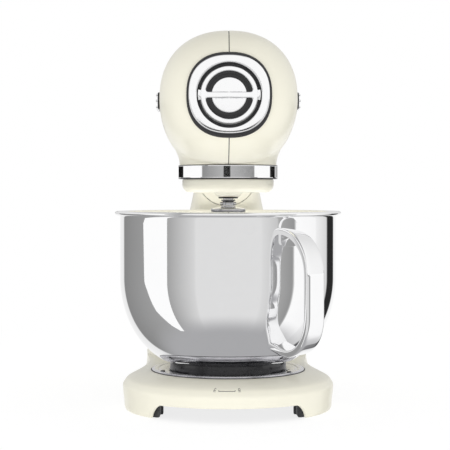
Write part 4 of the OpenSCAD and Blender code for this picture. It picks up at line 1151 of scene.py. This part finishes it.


# ---------- band and planetary ----------
# A bright chrome band closes the neck. Thin black rings above and below it are painted shade, the dark shadow
# lines of the gaps where it meets the head. Below it turns the cream cover of the planetary gear, moulded in
# one piece with the boss that the beater shaft comes out of.

band_profile = rounded([
    (45.6, 230.1, 0), (49.2, 230.1, 0.3), (49.75, 230.7, 0.3), (49.8, 231.2, 0), (49.8, 231.5, 0),
    (49.8, 242.4, 0), (49.8, 242.7, 0), (49.75, 243.2, 0.3), (49.2, 243.7, 0.3), (45.6, 243.7, 0),
], 3)
band = turned_piece("band", band_profile, count=256)
fit(band, bright_chrome, "head", "chrome_trim", "neck_band")
# Painted shade: two thin black rings draw the shadowed gaps above and below the band.
for name, low, high in (("band_shadow_top", 242.9, 243.75), ("band_shadow_bottom", 229.95, 230.75)):
    band_shadow = turned_piece(name, rounded([
        (49.3, low, 0), (49.86, low, 0.15), (49.86, high, 0.15), (49.3, high, 0),
    ], 3), count=256)
    fit(band_shadow, black_scale_and_shade, "head", "black_plastic")

cover_low, beater_y = 216.4, -24.0
cover_profile = [(0, cover_low)] + [
    (38.2 + 7.8 * sin(radians(t)), cover_low + 7.8 - 7.8 * cos(radians(t))) for t in range(0, 91, 6)
] + [(46, 228.4), (45.85, 229.2), (45.3, 229.55), (43.4, 229.6), (43.4, 224.4), (40.5, 219.2), (0, 219.2)]
cover = turned_piece("planetary_cover_shell", cover_profile, count=256, closed=False)
boss = turned_piece("boss", [
    (0, 212.3), (10.0, 212.3), (10.9, 212.5), (12.3, 213.6), (12.9, 214.4), (13.3, 215.4), (13.9, 216.1),
    (14.6, 216.5), (14.6, 218.4), (0, 218.4),
], (0, beater_y), 128, False)
carve(cover, boss, operation="UNION")
crisp(carve(cover, bar(7.5, 205, 225, (0, beater_y), "z")))
fit(cover, cream_enamel, "planetary", "cream_paint", "planetary_cover")


# ---------- beater shaft and whisk hub ----------
# A turned steel shaft with a cross pin, a black splash washer on it, and the whisk's hub with a bayonet
# slot that hooks over the pin. The hub is turned and polished, with grooves round its neck.

washer = turned_piece("splash_washer_ring", rounded([
    (5.05, 210.5, 0), (9.0, 210.5, 0.4), (9.75, 211.0, 0.4), (9.6, 212.0, 0.4), (5.05, 212.0, 0),
], 4), (0, beater_y), 96)
fit(washer, rubber, "beater", "rubber", "splash_washer")
hub_profile = [
    (0, 185.5), (14.6, 185.5), (15.9, 185.8), (16.9, 186.6), (17.2, 187.6), (17.2, 187.9), (17.2, 199.0),
    (17.2, 199.3), (16.9, 200.2), (16.0, 200.9), (12.2, 201.6), (9.2, 202.0), (7.8, 202.15), (7.3, 202.4),
    (7.2, 202.7), (7.2, 203.2), (6.9, 203.6), (6.0, 203.8), (5.9, 204.1), (5.9, 207.6), (6.0, 207.9),
    (6.9, 208.2), (7.1, 208.5), (7.1, 209.0), (6.8, 209.35), (6.4, 209.4), (5.07, 209.4), (5.07, 189.5),
    (0, 189.5),
]
whisk_head = turned_piece("whisk_head", hub_profile, (0, beater_y), 160, False, sharp=40)
slot_profile = [(-12, 205.5), (-12, 203.75), (12, 203.75), (12, 205.5)]
bayonet = solid_of(
    "cutter", [[(x_side, beater_y + y_side, z) for x_side, z in slot_profile] for y_side in (-1.75, 1.75)],
)
hook = bar(1.75, -12, 12, (beater_y, 205.5), "x")
crisp(carve(whisk_head, bayonet, hook), 40)
polished_hub = metal(
    "polished_hub", (0.46, 0.46, 0.47), 0.05, 0.12, cloud=30, grain=(700, (1, 1, 12), 0.08, 5e-6),
    worn=(0.95, 0.95, 0.95), wear=0.3, tint=0.03,
)
fit(whisk_head, polished_hub, "beater", "chrome_trim", "whisk_hub")
refinish(turned_steel, "beater_shaft", "drive_pin")


# ---------- whisk wires ----------
# Eight spring-steel wires, each bent to a loop and held in the hub by both ends. Each loop hangs 2 mm higher
# than the one before, so that they pass under each other at the bottom.

wire_steel = metal(
    "wire_steel", (0.84, 0.84, 0.845), 0.08, 0.18, cloud=60, grain=(500, (1, 1, 1), 0.06, 6e-6), tint=0.04,
)
wire_r, whisk_bottom_r, whisk_centre_z, side_start = 0.9, 44.0, 105.0, radians(80)
hub_end = (12.0, 188.0)


def loop_line(lift):
    """Centre line of a loop as (x, z): a round end of radius 44 that runs on each side into a flatter arc,
    which ends inside the hub. The flatter arc has the same tangent where they meet and its radius makes it
    pass through the hub's end."""
    z1 = whisk_centre_z + lift
    dx, dz = hub_end[0], hub_end[1] - z1
    s, c = sin(side_start), cos(side_start)
    extra = (dx * dx + dz * dz - whisk_bottom_r**2) / (2 * (whisk_bottom_r - dx * s + dz * c))
    side_r = whisk_bottom_r + extra
    centre = np.array([-extra * s, z1 + extra * c])
    top = pi / 2 + atan2(hub_end[1] - centre[1], dx - centre[0])
    first = np.linspace(0, side_start, 26)
    second = np.linspace(side_start, top, 30)[1:]
    half = np.concatenate([
        np.stack([whisk_bottom_r * np.sin(first), z1 - whisk_bottom_r * np.cos(first)], -1),
        centre + side_r * np.stack([np.sin(second), -np.cos(second)], -1),
    ])
    return np.concatenate([half[:0:-1] * (-1, 1), half])


def wire_along(name, line, radius, turn, centre, sides=8):
    """Round wire along a flat line of (x, z), in a plane turned about the upright axis through centre."""
    around = 2 * pi * np.arange(sides) / sides
    flat = line[:, None, :] + left_of(line)[:, None, :] * radius * np.cos(around)[:, None]
    depth = np.broadcast_to(radius * np.sin(around), flat.shape[:2])
    x_turned = flat[..., 0] * cos(turn) - depth * sin(turn) + centre[0]
    y_turned = flat[..., 0] * sin(turn) + depth * cos(turn) + centre[1]
    return solid_of(name, np.stack([x_turned, y_turned, flat[..., 1]], -1))


loops = [wire_along("loop", loop_line(2 * i), wire_r, pi * i / 8, (0, beater_y)) for i in range(8)]
whisk = merge("whisk", loops)
fit(whisk, wire_steel, "beater", "polished_steel", "whisk_wires")


# ---------- side trims ----------
# Three chromed ribs on each side of the head, the outer ones shorter, on a black strip let into the casting.
# The black strip is painted shade: it gives each rib a dark outline.

def rib(side, lift):
    """One rib: at each station half an oval in section, which sinks and narrows over its last 7 mm."""
    start, end = -38 + abs(lift), 56 - 3 * abs(lift)
    y = (start + end) / 2 - (end - start) / 2 * np.cos(np.linspace(0, pi, 72))
    to_end = np.clip(np.minimum(y - start, end - y) / 7, 0, 1)
    rise = np.sqrt(1 - (1 - to_end) ** 2)
    turn = np.linspace(-pi / 2, pi / 2, 17)
    out = np.outer(0.4 + 4.0 * rise, signed_power(np.cos(turn), 0.55)) + 67.0
    up = np.outer(0.5 + 1.28 * rise, signed_power(np.sin(turn), 0.55)) + head_z + lift
    return solid_of("rib", np.stack([side * out, np.broadcast_to(y[:, None], out.shape), up], -1))


def backing(side):
    """Black strip behind the ribs, level with the trim's rounded outline. It is painted shade, a dark outline
    round each rib.
    """
    outline = rounded([(-38, -8.2, 6), (38, -8.2, 6), (56, 0, 5), (38, 8.2, 6), (-38, 8.2, 6)], 6)
    rows = []
    for out, inset in ((66.8, 0.0), (68.9, 0.0), (69.2, 0.3), (69.3, 1.0)):
        plan = outline * (1 - inset / 50) * (1, 1 - inset / 12)
        rows.append(np.concatenate([np.full((len(plan), 1), side * out), plan + (0, head_z)], -1))
    return solid_of("backing", rows)


for label, side in hands:
    ribs = merge("trim_ribs_" + label, [rib(side, lift) for lift in (-6, 0, 6)])
    fit(ribs, bright_chrome, "head", "chrome_trim", "trim_" + label)
    # Painted shade: the black strip gives each rib a dark outline.
    strip = backing(side)
    strip.name = strip.data.name = "trim_backing_" + label
    fit(strip, black_scale_and_shade, "head", "black_plastic")


# ---------- speed control ----------
# A chromed frame with a black scale follows the curve of the head's top. A turned knob slides in its slot
# and carries the slider of the regulator inside.

slide_start = np.array([0, slide_from, 375.0])
slide_slope = radians(2.138)


def stadium(radius, start, end, count=24):
    """Outline of (x, y): a straight strip with round ends of that radius about two places on the slide."""
    turn = np.linspace(0, pi, count)
    far = np.stack([radius * np.cos(turn), end + radius * np.sin(turn)], -1)
    left = np.stack([np.full(30, -radius), np.linspace(end, start, 32)[1:-1]], -1)
    return np.concatenate([far, left, (0, start) - (far - (0, end)), left[::-1] * (-1, 1)])


def on_top(plan, lift):
    """Points over the head's top at that lift."""
    x, y = plan[..., 0], plan[..., 1]
    size = head_share(y)
    top = (1 - (np.abs(x) / (head_half_w * size)) ** head_squareness) ** (1 / head_squareness)
    return np.stack([x, y, head_z + head_half_h * size * top + lift], -1)


def plate_ring(name, outer, inner, levels):
    """Closed ring between two stadiums given as (radius, start, end); levels are (share of the way from inner
    to outer, lift above the head)."""
    rows = []
    for share, lift in levels:
        radius, start, end = (np.array(inner) + (np.array(outer) - inner) * share)
        rows.append(on_top(stadium(radius, start, end), lift))
    return piece_of(name, np.array(rows), grid_faces(len(rows), len(rows[0]), round_rows=True))


plate = plate_ring("speed_frame", (13, 70, 136), (10.6, 70.4, 135.6), [
    (0.0, -0.6), (0.0, 0.3), (0.12, 0.5), (0.35, 0.62), (0.65, 0.62), (0.88, 0.5), (1.0, 0.25), (1.0, -0.4),
])
slot_rim = plate_ring("slot_rim", (4.4, 75.4, 130.6), (3.45, 75.4, 130.6), [
    (0.0, -1.2), (0.0, 0.36), (0.3, 0.5), (0.7, 0.5), (1.0, 0.36), (1.0, -0.4),
])
speed_frame = merge("speed_frame", [plate, slot_rim])
fit(speed_frame, bright_chrome, "head", "chrome_trim", "speed_plate")
scale_field = plate_ring("speed_scale", (10.7, 70.4, 135.6), (4.3, 75.4, 130.6), [
    (0.0, -0.5), (0.0, 0.25), (0.33, 0.25), (0.66, 0.25), (1.0, 0.25), (1.0, -0.5), (0.5, -0.5),
])
fit(scale_field, black_scale_and_shade, "head", "black_plastic")
pale_print = finish("pale_print", (0.75, 0.75, 0.73), 0.4, 0.55, cloud=150)


def scale_stroke(path, width=0.35):
    """Flat stroke along a path of (x, y) on the scale."""
    path = np.asarray(path, float)
    steps = np.linspace(0, len(path) - 1, 4 * (len(path) - 1) + 1)
    path = np.stack([np.interp(steps, np.arange(len(path)), path[:, i]) for i in (0, 1)], -1)
    return stroke(path, width, lambda edges: on_top(edges, 0.29))


# Plain figures, each one stroke through the corners of a small rectangle (across, up)
figures = {
    "0": [(0, 0), (1, 0), (1, 2), (0, 2), (0, 0)], "1": [(0.5, 0), (0.5, 2)],
    "2": [(1, 0), (0, 0), (0, 1), (1, 1), (1, 2), (0, 2)], "4": [(1, 0), (1, 2), (0, 0.7), (1.2, 0.7)],
    "6": [(1, 2), (0, 2), (0, 0), (1, 0), (1, 1), (0, 1)],
    "8": [(0, 1), (0, 0), (1, 0), (1, 1), (0, 1), (0, 2), (1, 2), (1, 1)],
}
scale = []
for step in range(11):
    at = slide_from + step * slide_travel / 10
    length = 1.8 if step % 2 == 0 else 1.1
    scale += [scale_stroke([(side * 4.9, at), (side * (4.9 + length), at)]) for side in (-1, 1)]
    if step % 2 == 0:
        digits = str(step)
        for place, digit in enumerate(digits):
            start = at + (place - len(digits) / 2) * 1.7 + 0.3
            scale.append(
                scale_stroke([(9.6 - 1.1 * up, start + 1.1 * across) for across, up in figures[digit]]),
            )
scale_print = merge("scale_print", scale)
fit(scale_print, pale_print, "head", "polished_steel")


def along_slide(points):
    """Points given from the start of the slide, turned down along its slope."""
    x, y, z = np.moveaxis(np.asarray(points, float), -1, 0)
    c, s = cos(slide_slope), sin(slide_slope)
    return np.stack([x, y * c + z * s, z * c - y * s], -1) + slide_start


knob_profile = np.array(rounded([
    (2.8, 1.9, 0), (7.0, 1.9, 0.3), (7.5, 2.4, 0.3), (7.5, 3.5, 0.4), (6.9, 4.0, 0.3), (5.4, 4.1, 0.4),
    (5.7, 5.2, 0), (6.2, 8.4, 0), (6.45, 9.1, 0.5), (5.7, 9.5, 0.4), (4.4, 9.3, 0.6), (0.0, 8.9, 0),
], 4, False))
knob_profile = np.concatenate([[(0, -9), (2.8, -9)], knob_profile])
turn = 2 * pi * np.arange(144) / 144
grip = np.clip((knob_profile[:, 1] - 4.4) / 0.8, 0, 1) * np.clip((9.0 - knob_profile[:, 1]) / 0.6, 0, 1)
fluted = knob_profile[:, 0, None] * (1 - 0.035 * grip[:, None] * (1 - np.abs(np.cos(12 * turn))) ** 0.7)
knob_points = at_height(polar(fluted, turn), knob_profile[:, 1, None])
knob = piece_of("knob", along_slide(knob_points), grid_faces(len(knob_profile), 144), 30)


def slider_row(z, inset):
    """Rounded outline of the slider under the knob, at that height and drawn in by inset."""
    corners = [(x * (9 - inset), y * (7 - inset), 1) for x, y in ((-1, -1), (1, -1), (1, 1), (-1, 1))]
    return along_slide(at_height(rounded(corners, 4), z))


slider = solid_of("slider", [slider_row(*row) for row in ((-13, 0.3), (-12.7, 0), (-9.3, 0), (-9, 0.3))])
knob = merge("speed_knob_turned", [knob, slider])
fit(knob, bright_chrome, "speed_knob", "chrome_trim", "speed_knob")


# ---------- bowl ----------
# Drawn from one sheet of stainless steel 1.2 mm thick and polished like a mirror, with its rim rolled
# outwards round a wire. A black collar with three lugs is pressed on below it and locks into the seat.

bowl_r, bowl_t, bowl_bottom_z = 108.6, 1.2, 48.7
rim_r, rim_z, bead_r = 113.6, 195.7, 2.1
foot_r = 58.6


def bowl_radius(z):
    """Outer radius of the bowl at height z: a plain cylinder over a quarter of an ellipse."""
    drop = np.clip((131.3 - np.asarray(z, float)) / 88.9, 0, 1)
    return np.where(drop > 0, 40.4 + 68.2 * np.sqrt(1 - drop**2), bowl_r)


mirror_steel = metal(
    "mirror_steel", (0.975, 0.975, 0.98), 0.025, 0.055, cloud=7, grain=(300, (1, 1, 1), 0.02, 2e-6),
    tint=0.015,
)
bend = np.linspace(0, np.arcsin(80.8 / 88.9), 44)
curved = np.stack([40.4 + 68.2 * np.cos(bend), 131.3 - 88.9 * np.sin(bend)], -1)[::-1]
inward = left_of(curved) * bowl_t
bead = (rim_r - bead_r, rim_z) + polar(bead_r, np.radians(np.linspace(-140, 130, 22)))
corner = rounded([(50, bowl_bottom_z, 0), (65.95, bowl_bottom_z, 5), tuple(curved[0]) + (0,)], 6, False)
# Radius and thickness of the bowl's floor, which is flat below and rises towards its middle
bowl_floor = [(64, 1.35), (60, bowl_t), (36, bowl_t), (28, 1.7), (20, 3.0), (12, 3.6), (0, 3.7)]
bowl_profile = np.concatenate([
    [(0, bowl_bottom_z), (30, bowl_bottom_z)], corner, curved[1:],
    np.stack([np.full(12, bowl_r), np.linspace(136, 192, 12)], -1),
    [(108.75, 193.2), (109.3, 193.95), (110.0, 194.3)], bead,
    [(109.7, 196.9), (108.6, 196.1), (107.8, 195.0), (107.4, 193.4)],
    np.stack([np.full(12, bowl_r - bowl_t), np.linspace(191.5, 136, 12)], -1), (curved + inward)[::-1],
    [(radius, bowl_bottom_z + up) for radius, up in bowl_floor],
])
drawn_bowl = turned_piece("drawn_bowl", bowl_profile, count=256, closed=False, sharp=40)
fit(drawn_bowl, mirror_steel, "bowl", "polished_steel", "bowl")
satin_steel = metal(
    "satin_steel", (0.55, 0.55, 0.56), 0.2, 0.32, cloud=14, grain=(500, (1, 1, 10), 0.2, 1e-5), tint=0.04,
)
drawn_bowl.data.materials.append(satin_steel)
faces = drawn_bowl.data.polygons
centres = np.empty(3 * len(faces))
faces.foreach_get("center", centres)
x_at, y_at, z_at = centres.reshape(-1, 3).T * 1000
inside = np.hypot(x_at, y_at - bowl_axis_y * 1000) < bowl_radius(z_at) - bowl_t / 2
inside &= (z_at < rim_z + 0.2) & (z_at > bowl_bottom_z + 0.5)
faces.foreach_set("material_index", inside.astype(np.int32))

gloss_black = finish(
    "gloss_black_collar", (0.014, 0.014, 0.016), 0.2, 0.34, cloud=30, grain=(500, (1, 1, 1), 0.1, 2e-5),
    worn=(0.2, 0.2, 0.2), wear=0.3, tint=0.1, coat=0.12, coat_roughness=0.12,
)


def sector(name, inner, outer, low, high, start, end):
    """Part of a ring between two radii, heights and angles in degrees, with softened corners."""
    edge = 0.4
    profile = rounded([(inner, low, 0), (outer, low, edge), (outer, high, edge), (inner, high, 0)], 3)
    turn = np.radians(np.linspace(start, end, 24))
    return solid_of(name, at_height(polar(profile[:, 0], turn[:, None]), profile[:, 1]))


collar_profile = rounded([
    (foot_r - 4, 33.8, 0.5), (foot_r, 33.8, 0.4), (foot_r, 47.2, 0.3), (foot_r + 0.9, 47.6, 0.3),
    (foot_r + 0.9, 48.66, 0), (foot_r - 4, 48.66, 0),
])
collar = [turned_piece("collar", collar_profile, count=192)]
collar += [
    sector("lug", foot_r - 2, 61.2, 33.8, 36.2, 120 * i - 63 - 12, 120 * i - 63 + 12)
    for i in range(3)
]
foot_collar = merge("foot_collar", collar)
fit(foot_collar, gloss_black, "bowl", "black_plastic", "bowl_foot")


# ---------- bowl handle ----------
# A pressed steel strap with a sloping face and eased edges, bent to a loop and polished with the bowl. A
# rounded tab at its upper end and the cut lower end are spot-welded to the bowl's wall.

handle_turn = radians(31)
outwards = np.array([sin(handle_turn), -cos(handle_turn), 0])
sideways = np.array([cos(handle_turn), sin(handle_turn), 0])
strap_half, strap_thick = 10.5, 3.1


def on_handle(reach, across, z):
    """Points at a distance out from the bowl's axis, across the handle, and at height z."""
    reach, across = np.asarray(reach)[..., None], np.asarray(across)[..., None]
    return reach * outwards + across * sideways + np.asarray(z)[..., None] * (0, 0, 1)


upper = np.radians(90 * (1 - np.linspace(0, 1, 40)))
lower = np.radians(-103 * np.linspace(0, 1, 34))[1:]
strap_path = np.concatenate([
    np.stack([107.5 + 43.7 * np.cos(upper), 141 + 38.3 * np.sin(upper)], -1),
    [(151.2, z) for z in np.linspace(137, 104, 10)],
    np.stack([117.2 + 34 * np.cos(lower), 100 + 34 * np.sin(lower)], -1),
    np.linspace((109.55, 66.87), (88, 71.8), 12)[1:],
])
travelled = np.concatenate([[0], np.cumsum(np.linalg.norm(np.diff(strap_path, axis=0), axis=1))])
even = np.linspace(0, travelled[-1], 180)
strap_path = np.stack([np.interp(even, travelled, strap_path[:, i]) for i in (0, 1)], -1)
for _ in range(30):  # eases the bends into each other and leaves the ends where they are
    strap_path[1:-1] += 0.25 * (strap_path[:-2] - 2 * strap_path[1:-1] + strap_path[2:])
outer_side = left_of(strap_path)
section = superellipse(strap_half, strap_thick, 5.5, 96)
# The outer face falls off to the right, and the inner one stays square to the strap
section[:, 1] -= 0.14 * section[:, 0] * (section[:, 1] / strap_thick + 1) / 2
across, out = np.tile(section[:, 0], (len(strap_path), 1)), section[:, 1]
reach = strap_path[:, 0, None] + outer_side[:, 0, None] * out
height = strap_path[:, 1, None] + outer_side[:, 1, None] * out
for end in (0, -1):
    reach[end] = np.sqrt((bowl_radius(height[end]) - 0.5) ** 2 - across[end] ** 2)
strap = solid_of("strap", on_handle(reach, across, height))

tab_half, tab_round_z = 9.8, 183.0
tab_outline = rounded([
    (-tab_half, 165.5, 5), (tab_half, 165.5, 5),
    *[(tab_half * cos(radians(a)), tab_round_z + tab_half * sin(radians(a)), 0) for a in range(0, 181, 10)],
])
tab_centre = np.array([0, 179.0])
tab_rows = []
for offset, inset in ((-0.6, 0.0), (1.9, 0.0), (2.15, 0.08), (2.3, 0.3), (2.3, 1.2), (2.3, 4.0), (2.3, 8.0)):
    size = np.linalg.norm(tab_outline - tab_centre, axis=1)[:, None]
    plan = tab_centre + (tab_outline - tab_centre) * (1 - inset / size)
    turn = plan[:, 0] / bowl_r
    tab_rows.append(on_handle((bowl_r + offset) * np.cos(turn), (bowl_r + offset) * np.sin(turn), plan[:, 1]))
handle = merge("handle", [strap, solid_of("tab", tab_rows)])
fit(handle, mirror_steel, "bowl", "polished_steel", "bowl_handle")


# ---------- release button ----------
# A chromed cap in a chromed bezel at the back of the column. Its stem runs through a coil spring to the
# latch plate, whose window goes round the hook under the head.

bezel_ring = turned_piece("button_surround", rounded([
    (9.3, 240, 0), (11.8, 240, 0.3), (11.8, 249.3, 0), (13.6, 249.3, 0), (14, 249.6, 0.3), (13.9, 250.6, 0.5),
    (12.6, 251.45, 0.8), (10.4, 251.3, 0.5), (9.6, 250.6, 0.4), (9.3, 249.8, 0.3),
], 4), (0, button_z), 128, axis="y")
fit(bezel_ring, bright_chrome, "base", "chrome_trim", "button_bezel")
cap_profile = [
    (0, 241), (8.6, 241), (9.0, 241.4), (9.0, 252.4), (8.9, 253.0), (8.6, 253.6), (8.0, 254.1), (7.2, 254.35),
    (6.2, 254.4), (4.8, 254.15), (2.6, 253.85), (0, 253.75),
]
stem_profile = [(0, 208), (2.7, 208), (3.0, 208.3), (3.0, 241.1), (0, 241.1)]
button_parts = [
    turned_piece("button_cap", cap_profile, (0, button_z), 128, False, "y"),
    turned_piece("stem", stem_profile, (0, button_z), 48, False, "y"),
    block((-7, 172, button_z - 3), (7, 208, button_z)), block((-7, 172, button_z), (7, 176, 191)),
    carve(block((-14, 146, 190), (14, 176, 193)), block((-7, 152.4, 180), (7, 168, 200))),
]
button = merge("latch_button", button_parts)
rounding = button.modifiers.new("bevel", "BEVEL")
rounding.width, rounding.segments = 0.0003, 2
rounding.limit_method, rounding.angle_limit = "ANGLE", radians(50)
rounded_mesh = bpy.data.meshes.new_from_object(button.evaluated_get(bpy.context.evaluated_depsgraph_get()))
button.modifiers.clear()
button.data = rounded_mesh
tidy_mesh(button.data, 32)
fit(button, bright_chrome, "release_button", "chrome_trim", "release_button")


def coil(radius, wire, start, end, turns, centre, sides=10):
    """Coil of round wire along Y, as wire circles carried round the axis while they move along it."""
    steps = 36 * turns
    turn = 2 * pi * np.arange(steps + 1) / 36
    around = 2 * pi * np.arange(sides) / sides
    reach = radius + wire * np.cos(around)[None, :]
    along = np.linspace(start, end, steps + 1)[:, None] - wire * np.sin(around)[None, :]
    return solid_of("coil", np.stack([
        centre[0] + reach * np.sin(turn)[:, None], along, centre[1] - reach * np.cos(turn)[:, None],
    ], -1))


spring_start, spring_end, button_travel = 222.0, 240.1, 4.0
spring = coil(5.5, 0.7, spring_start, spring_end, 6, (0, button_z))
spring.name = spring.data.name = "return_spring"
spring_steel = metal(
    "spring_steel", (0.42, 0.42, 0.44), 0.2, 0.35, cloud=90, grain=(700, (1, 1, 1), 0.15, 1e-5), tint=0.08,
)
fit(spring, spring_steel, "release_button", "polished_steel", "button_spring")
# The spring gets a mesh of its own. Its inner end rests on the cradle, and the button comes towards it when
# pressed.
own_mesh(spring)


# ---------- cord gland ----------
# A moulded rubber grommet snapped into the back of the base, open for the mains cord.

gland = turned_piece("cord_grommet", rounded([
    (3.6, 256, 0.4), (6.4, 256, 0.4), (6.9, 257.2, 0.3), (6.9, 268.9, 0), (8.8, 269.1, 0.2),
    (9.0, 270.6, 0.6), (8.2, 271.6, 0.5), (6.6, 271.9, 0.4), (5.9, 271.2, 0.3), (5.2, 271.2, 0.3),
    (4.6, 271.9, 0.3), (3.6, 271.6, 0.5), (3.6, 264, 0),
], 4), (0, 23), 96, axis="y")
fit(gland, rubber, "base", "rubber", "cord_gland")


# ---------- motor and drive inside the head ----------
# A series motor with a wound rotor, a laminated stator and carbon brushes drives a worm. Behind it sits the
# control board. The gears are hobbed steel, but for the bronze worm wheel and the sintered bushes.

gear_steel = metal(
    "gear_steel", (0.50, 0.50, 0.51), 0.2, 0.38, cloud=45, grain=(900, (1, 1, 1), 0.25, 1.5e-5),
    worn=(0.75, 0.75, 0.76), wear=0.6, tint=0.08,
)
refinish(
    gear_steel, "ring_gear", "layshaft", "lay_pinion", "main_shaft", "centre_gear", "bevel_gear",
    "planet_gear", "worm",
)
gear_bronze = metal(
    "gear_bronze", (0.62, 0.42, 0.20), 0.25, 0.42, cloud=40, grain=(800, (1, 1, 1), 0.25, 1.5e-5),
    worn=(0.82, 0.62, 0.34), wear=0.6, tint=0.1,
)
refinish(gear_bronze, "worm_wheel", "shaft_bearings", "beater_bush")
refinish(cast_metal, "planet_carrier")
bracket_steel = metal(
    "bracket_steel", (0.46, 0.46, 0.45), 0.3, 0.45, cloud=60, grain=(600, (1, 6, 1), 0.2, 1.5e-5), tint=0.08,
)
refinish(bracket_steel, "motor_brackets")
holder_plastic = finish(
    "holder_plastic", (0.035, 0.033, 0.03), 0.4, 0.55, cloud=80, grain=(1200, (1, 1, 1), 0.4, 4e-5), tint=0.2,
)
refinish(holder_plastic, "brush_holders", "speed_potentiometer", "motor_fan")


def layered(name, sheet, winding, low, high, pitch=1500.0, height=0.026):
    """Material of a wound iron core: sheet iron in fine layers along Y between two places, and copper wire in
    fine turns past them, where the height from the motor's axis passes that of the coils."""
    material = finish(
        name, sheet, 0.35, 0.5, metallic=1.0, cloud=50, grain=(500, (1, 1, 1), 0.1, 1e-5), tint=0.06,
    )
    tree = material.node_tree
    shader = tree.nodes["Principled BSDF"]
    place = add(tree, "SeparateXYZ", {0: add(tree, "TexCoord").outputs["Object"]}).outputs
    lines = arith(tree, "SINE", arith(tree, "MULTIPLY", place["Y"], pitch * 2 * pi))
    turns = arith(tree, "SINE", arith(tree, "MULTIPLY", place["X"], pitch * 2 * pi))
    from_axis = arith(tree, "ABSOLUTE", arith(tree, "SUBTRACT", place["Z"], head_z * 0.001))
    past_end = arith(
        tree, "MAXIMUM", arith(tree, "LESS_THAN", place["Y"], low),
        arith(tree, "GREATER_THAN", place["Y"], high),
    )
    wound = arith(tree, "MULTIPLY", past_end, arith(tree, "GREATER_THAN", from_axis, height))
    old = shader.inputs["Base Color"].links[0].from_socket
    dark_lines = mixed(
        tree, arith(tree, "GREATER_THAN", lines, 0.6), old, tuple(0.45 * c for c in sheet) + (1,),
    )
    copper = mixed(
        tree, arith(tree, "GREATER_THAN", turns, 0.3), (*winding, 1), tuple(0.5 * c for c in winding) + (1,),
    )
    tree.links.new(mixed(tree, wound, dark_lines, copper), shader.inputs["Base Color"])
    return material


core_ends = bowl_axis_y + 0.0639, bowl_axis_y + 0.1099
laminated = layered("laminated_core", (0.34, 0.33, 0.33), (0.62, 0.24, 0.08), *core_ends)
refinish(laminated, "motor_stator")
wound_rotor = layered("wound_rotor", (0.40, 0.38, 0.37), (0.60, 0.25, 0.09), *core_ends, height=0.006)
refinish(wound_rotor, "motor_rotor")


def printed_board(name):
    """Green board: a network of copper tracks under the lacquer, with small pale pads."""
    material = finish(
        name, (0.02, 0.14, 0.05), 0.25, 0.4, cloud=70, grain=(900, (1, 1, 1), 0.2, 1e-5), tint=0.2, coat=0.3,
    )
    tree = material.node_tree
    shader = tree.nodes["Principled BSDF"]
    place = add(tree, "TexCoord").outputs["Object"]
    cells = add(
        tree, "TexVoronoi", {"Vector": place, "Scale": 260.0}, distance="MANHATTAN",
        feature="DISTANCE_TO_EDGE",
    )
    track = arith(tree, "LESS_THAN", cells.outputs["Distance"], 0.06)
    spots = add(tree, "TexVoronoi", {"Vector": place, "Scale": 300.0}).outputs["Distance"]
    pad = arith(tree, "LESS_THAN", spots, 0.16)
    old = shader.inputs["Base Color"].links[0].from_socket
    lit = mixed(tree, track, old, (0.06, 0.27, 0.09, 1))
    tree.links.new(mixed(tree, pad, lit, (0.55, 0.55, 0.52, 1)), shader.inputs["Base Color"])
    return material


refinish(printed_board("printed_board"), "control_board")
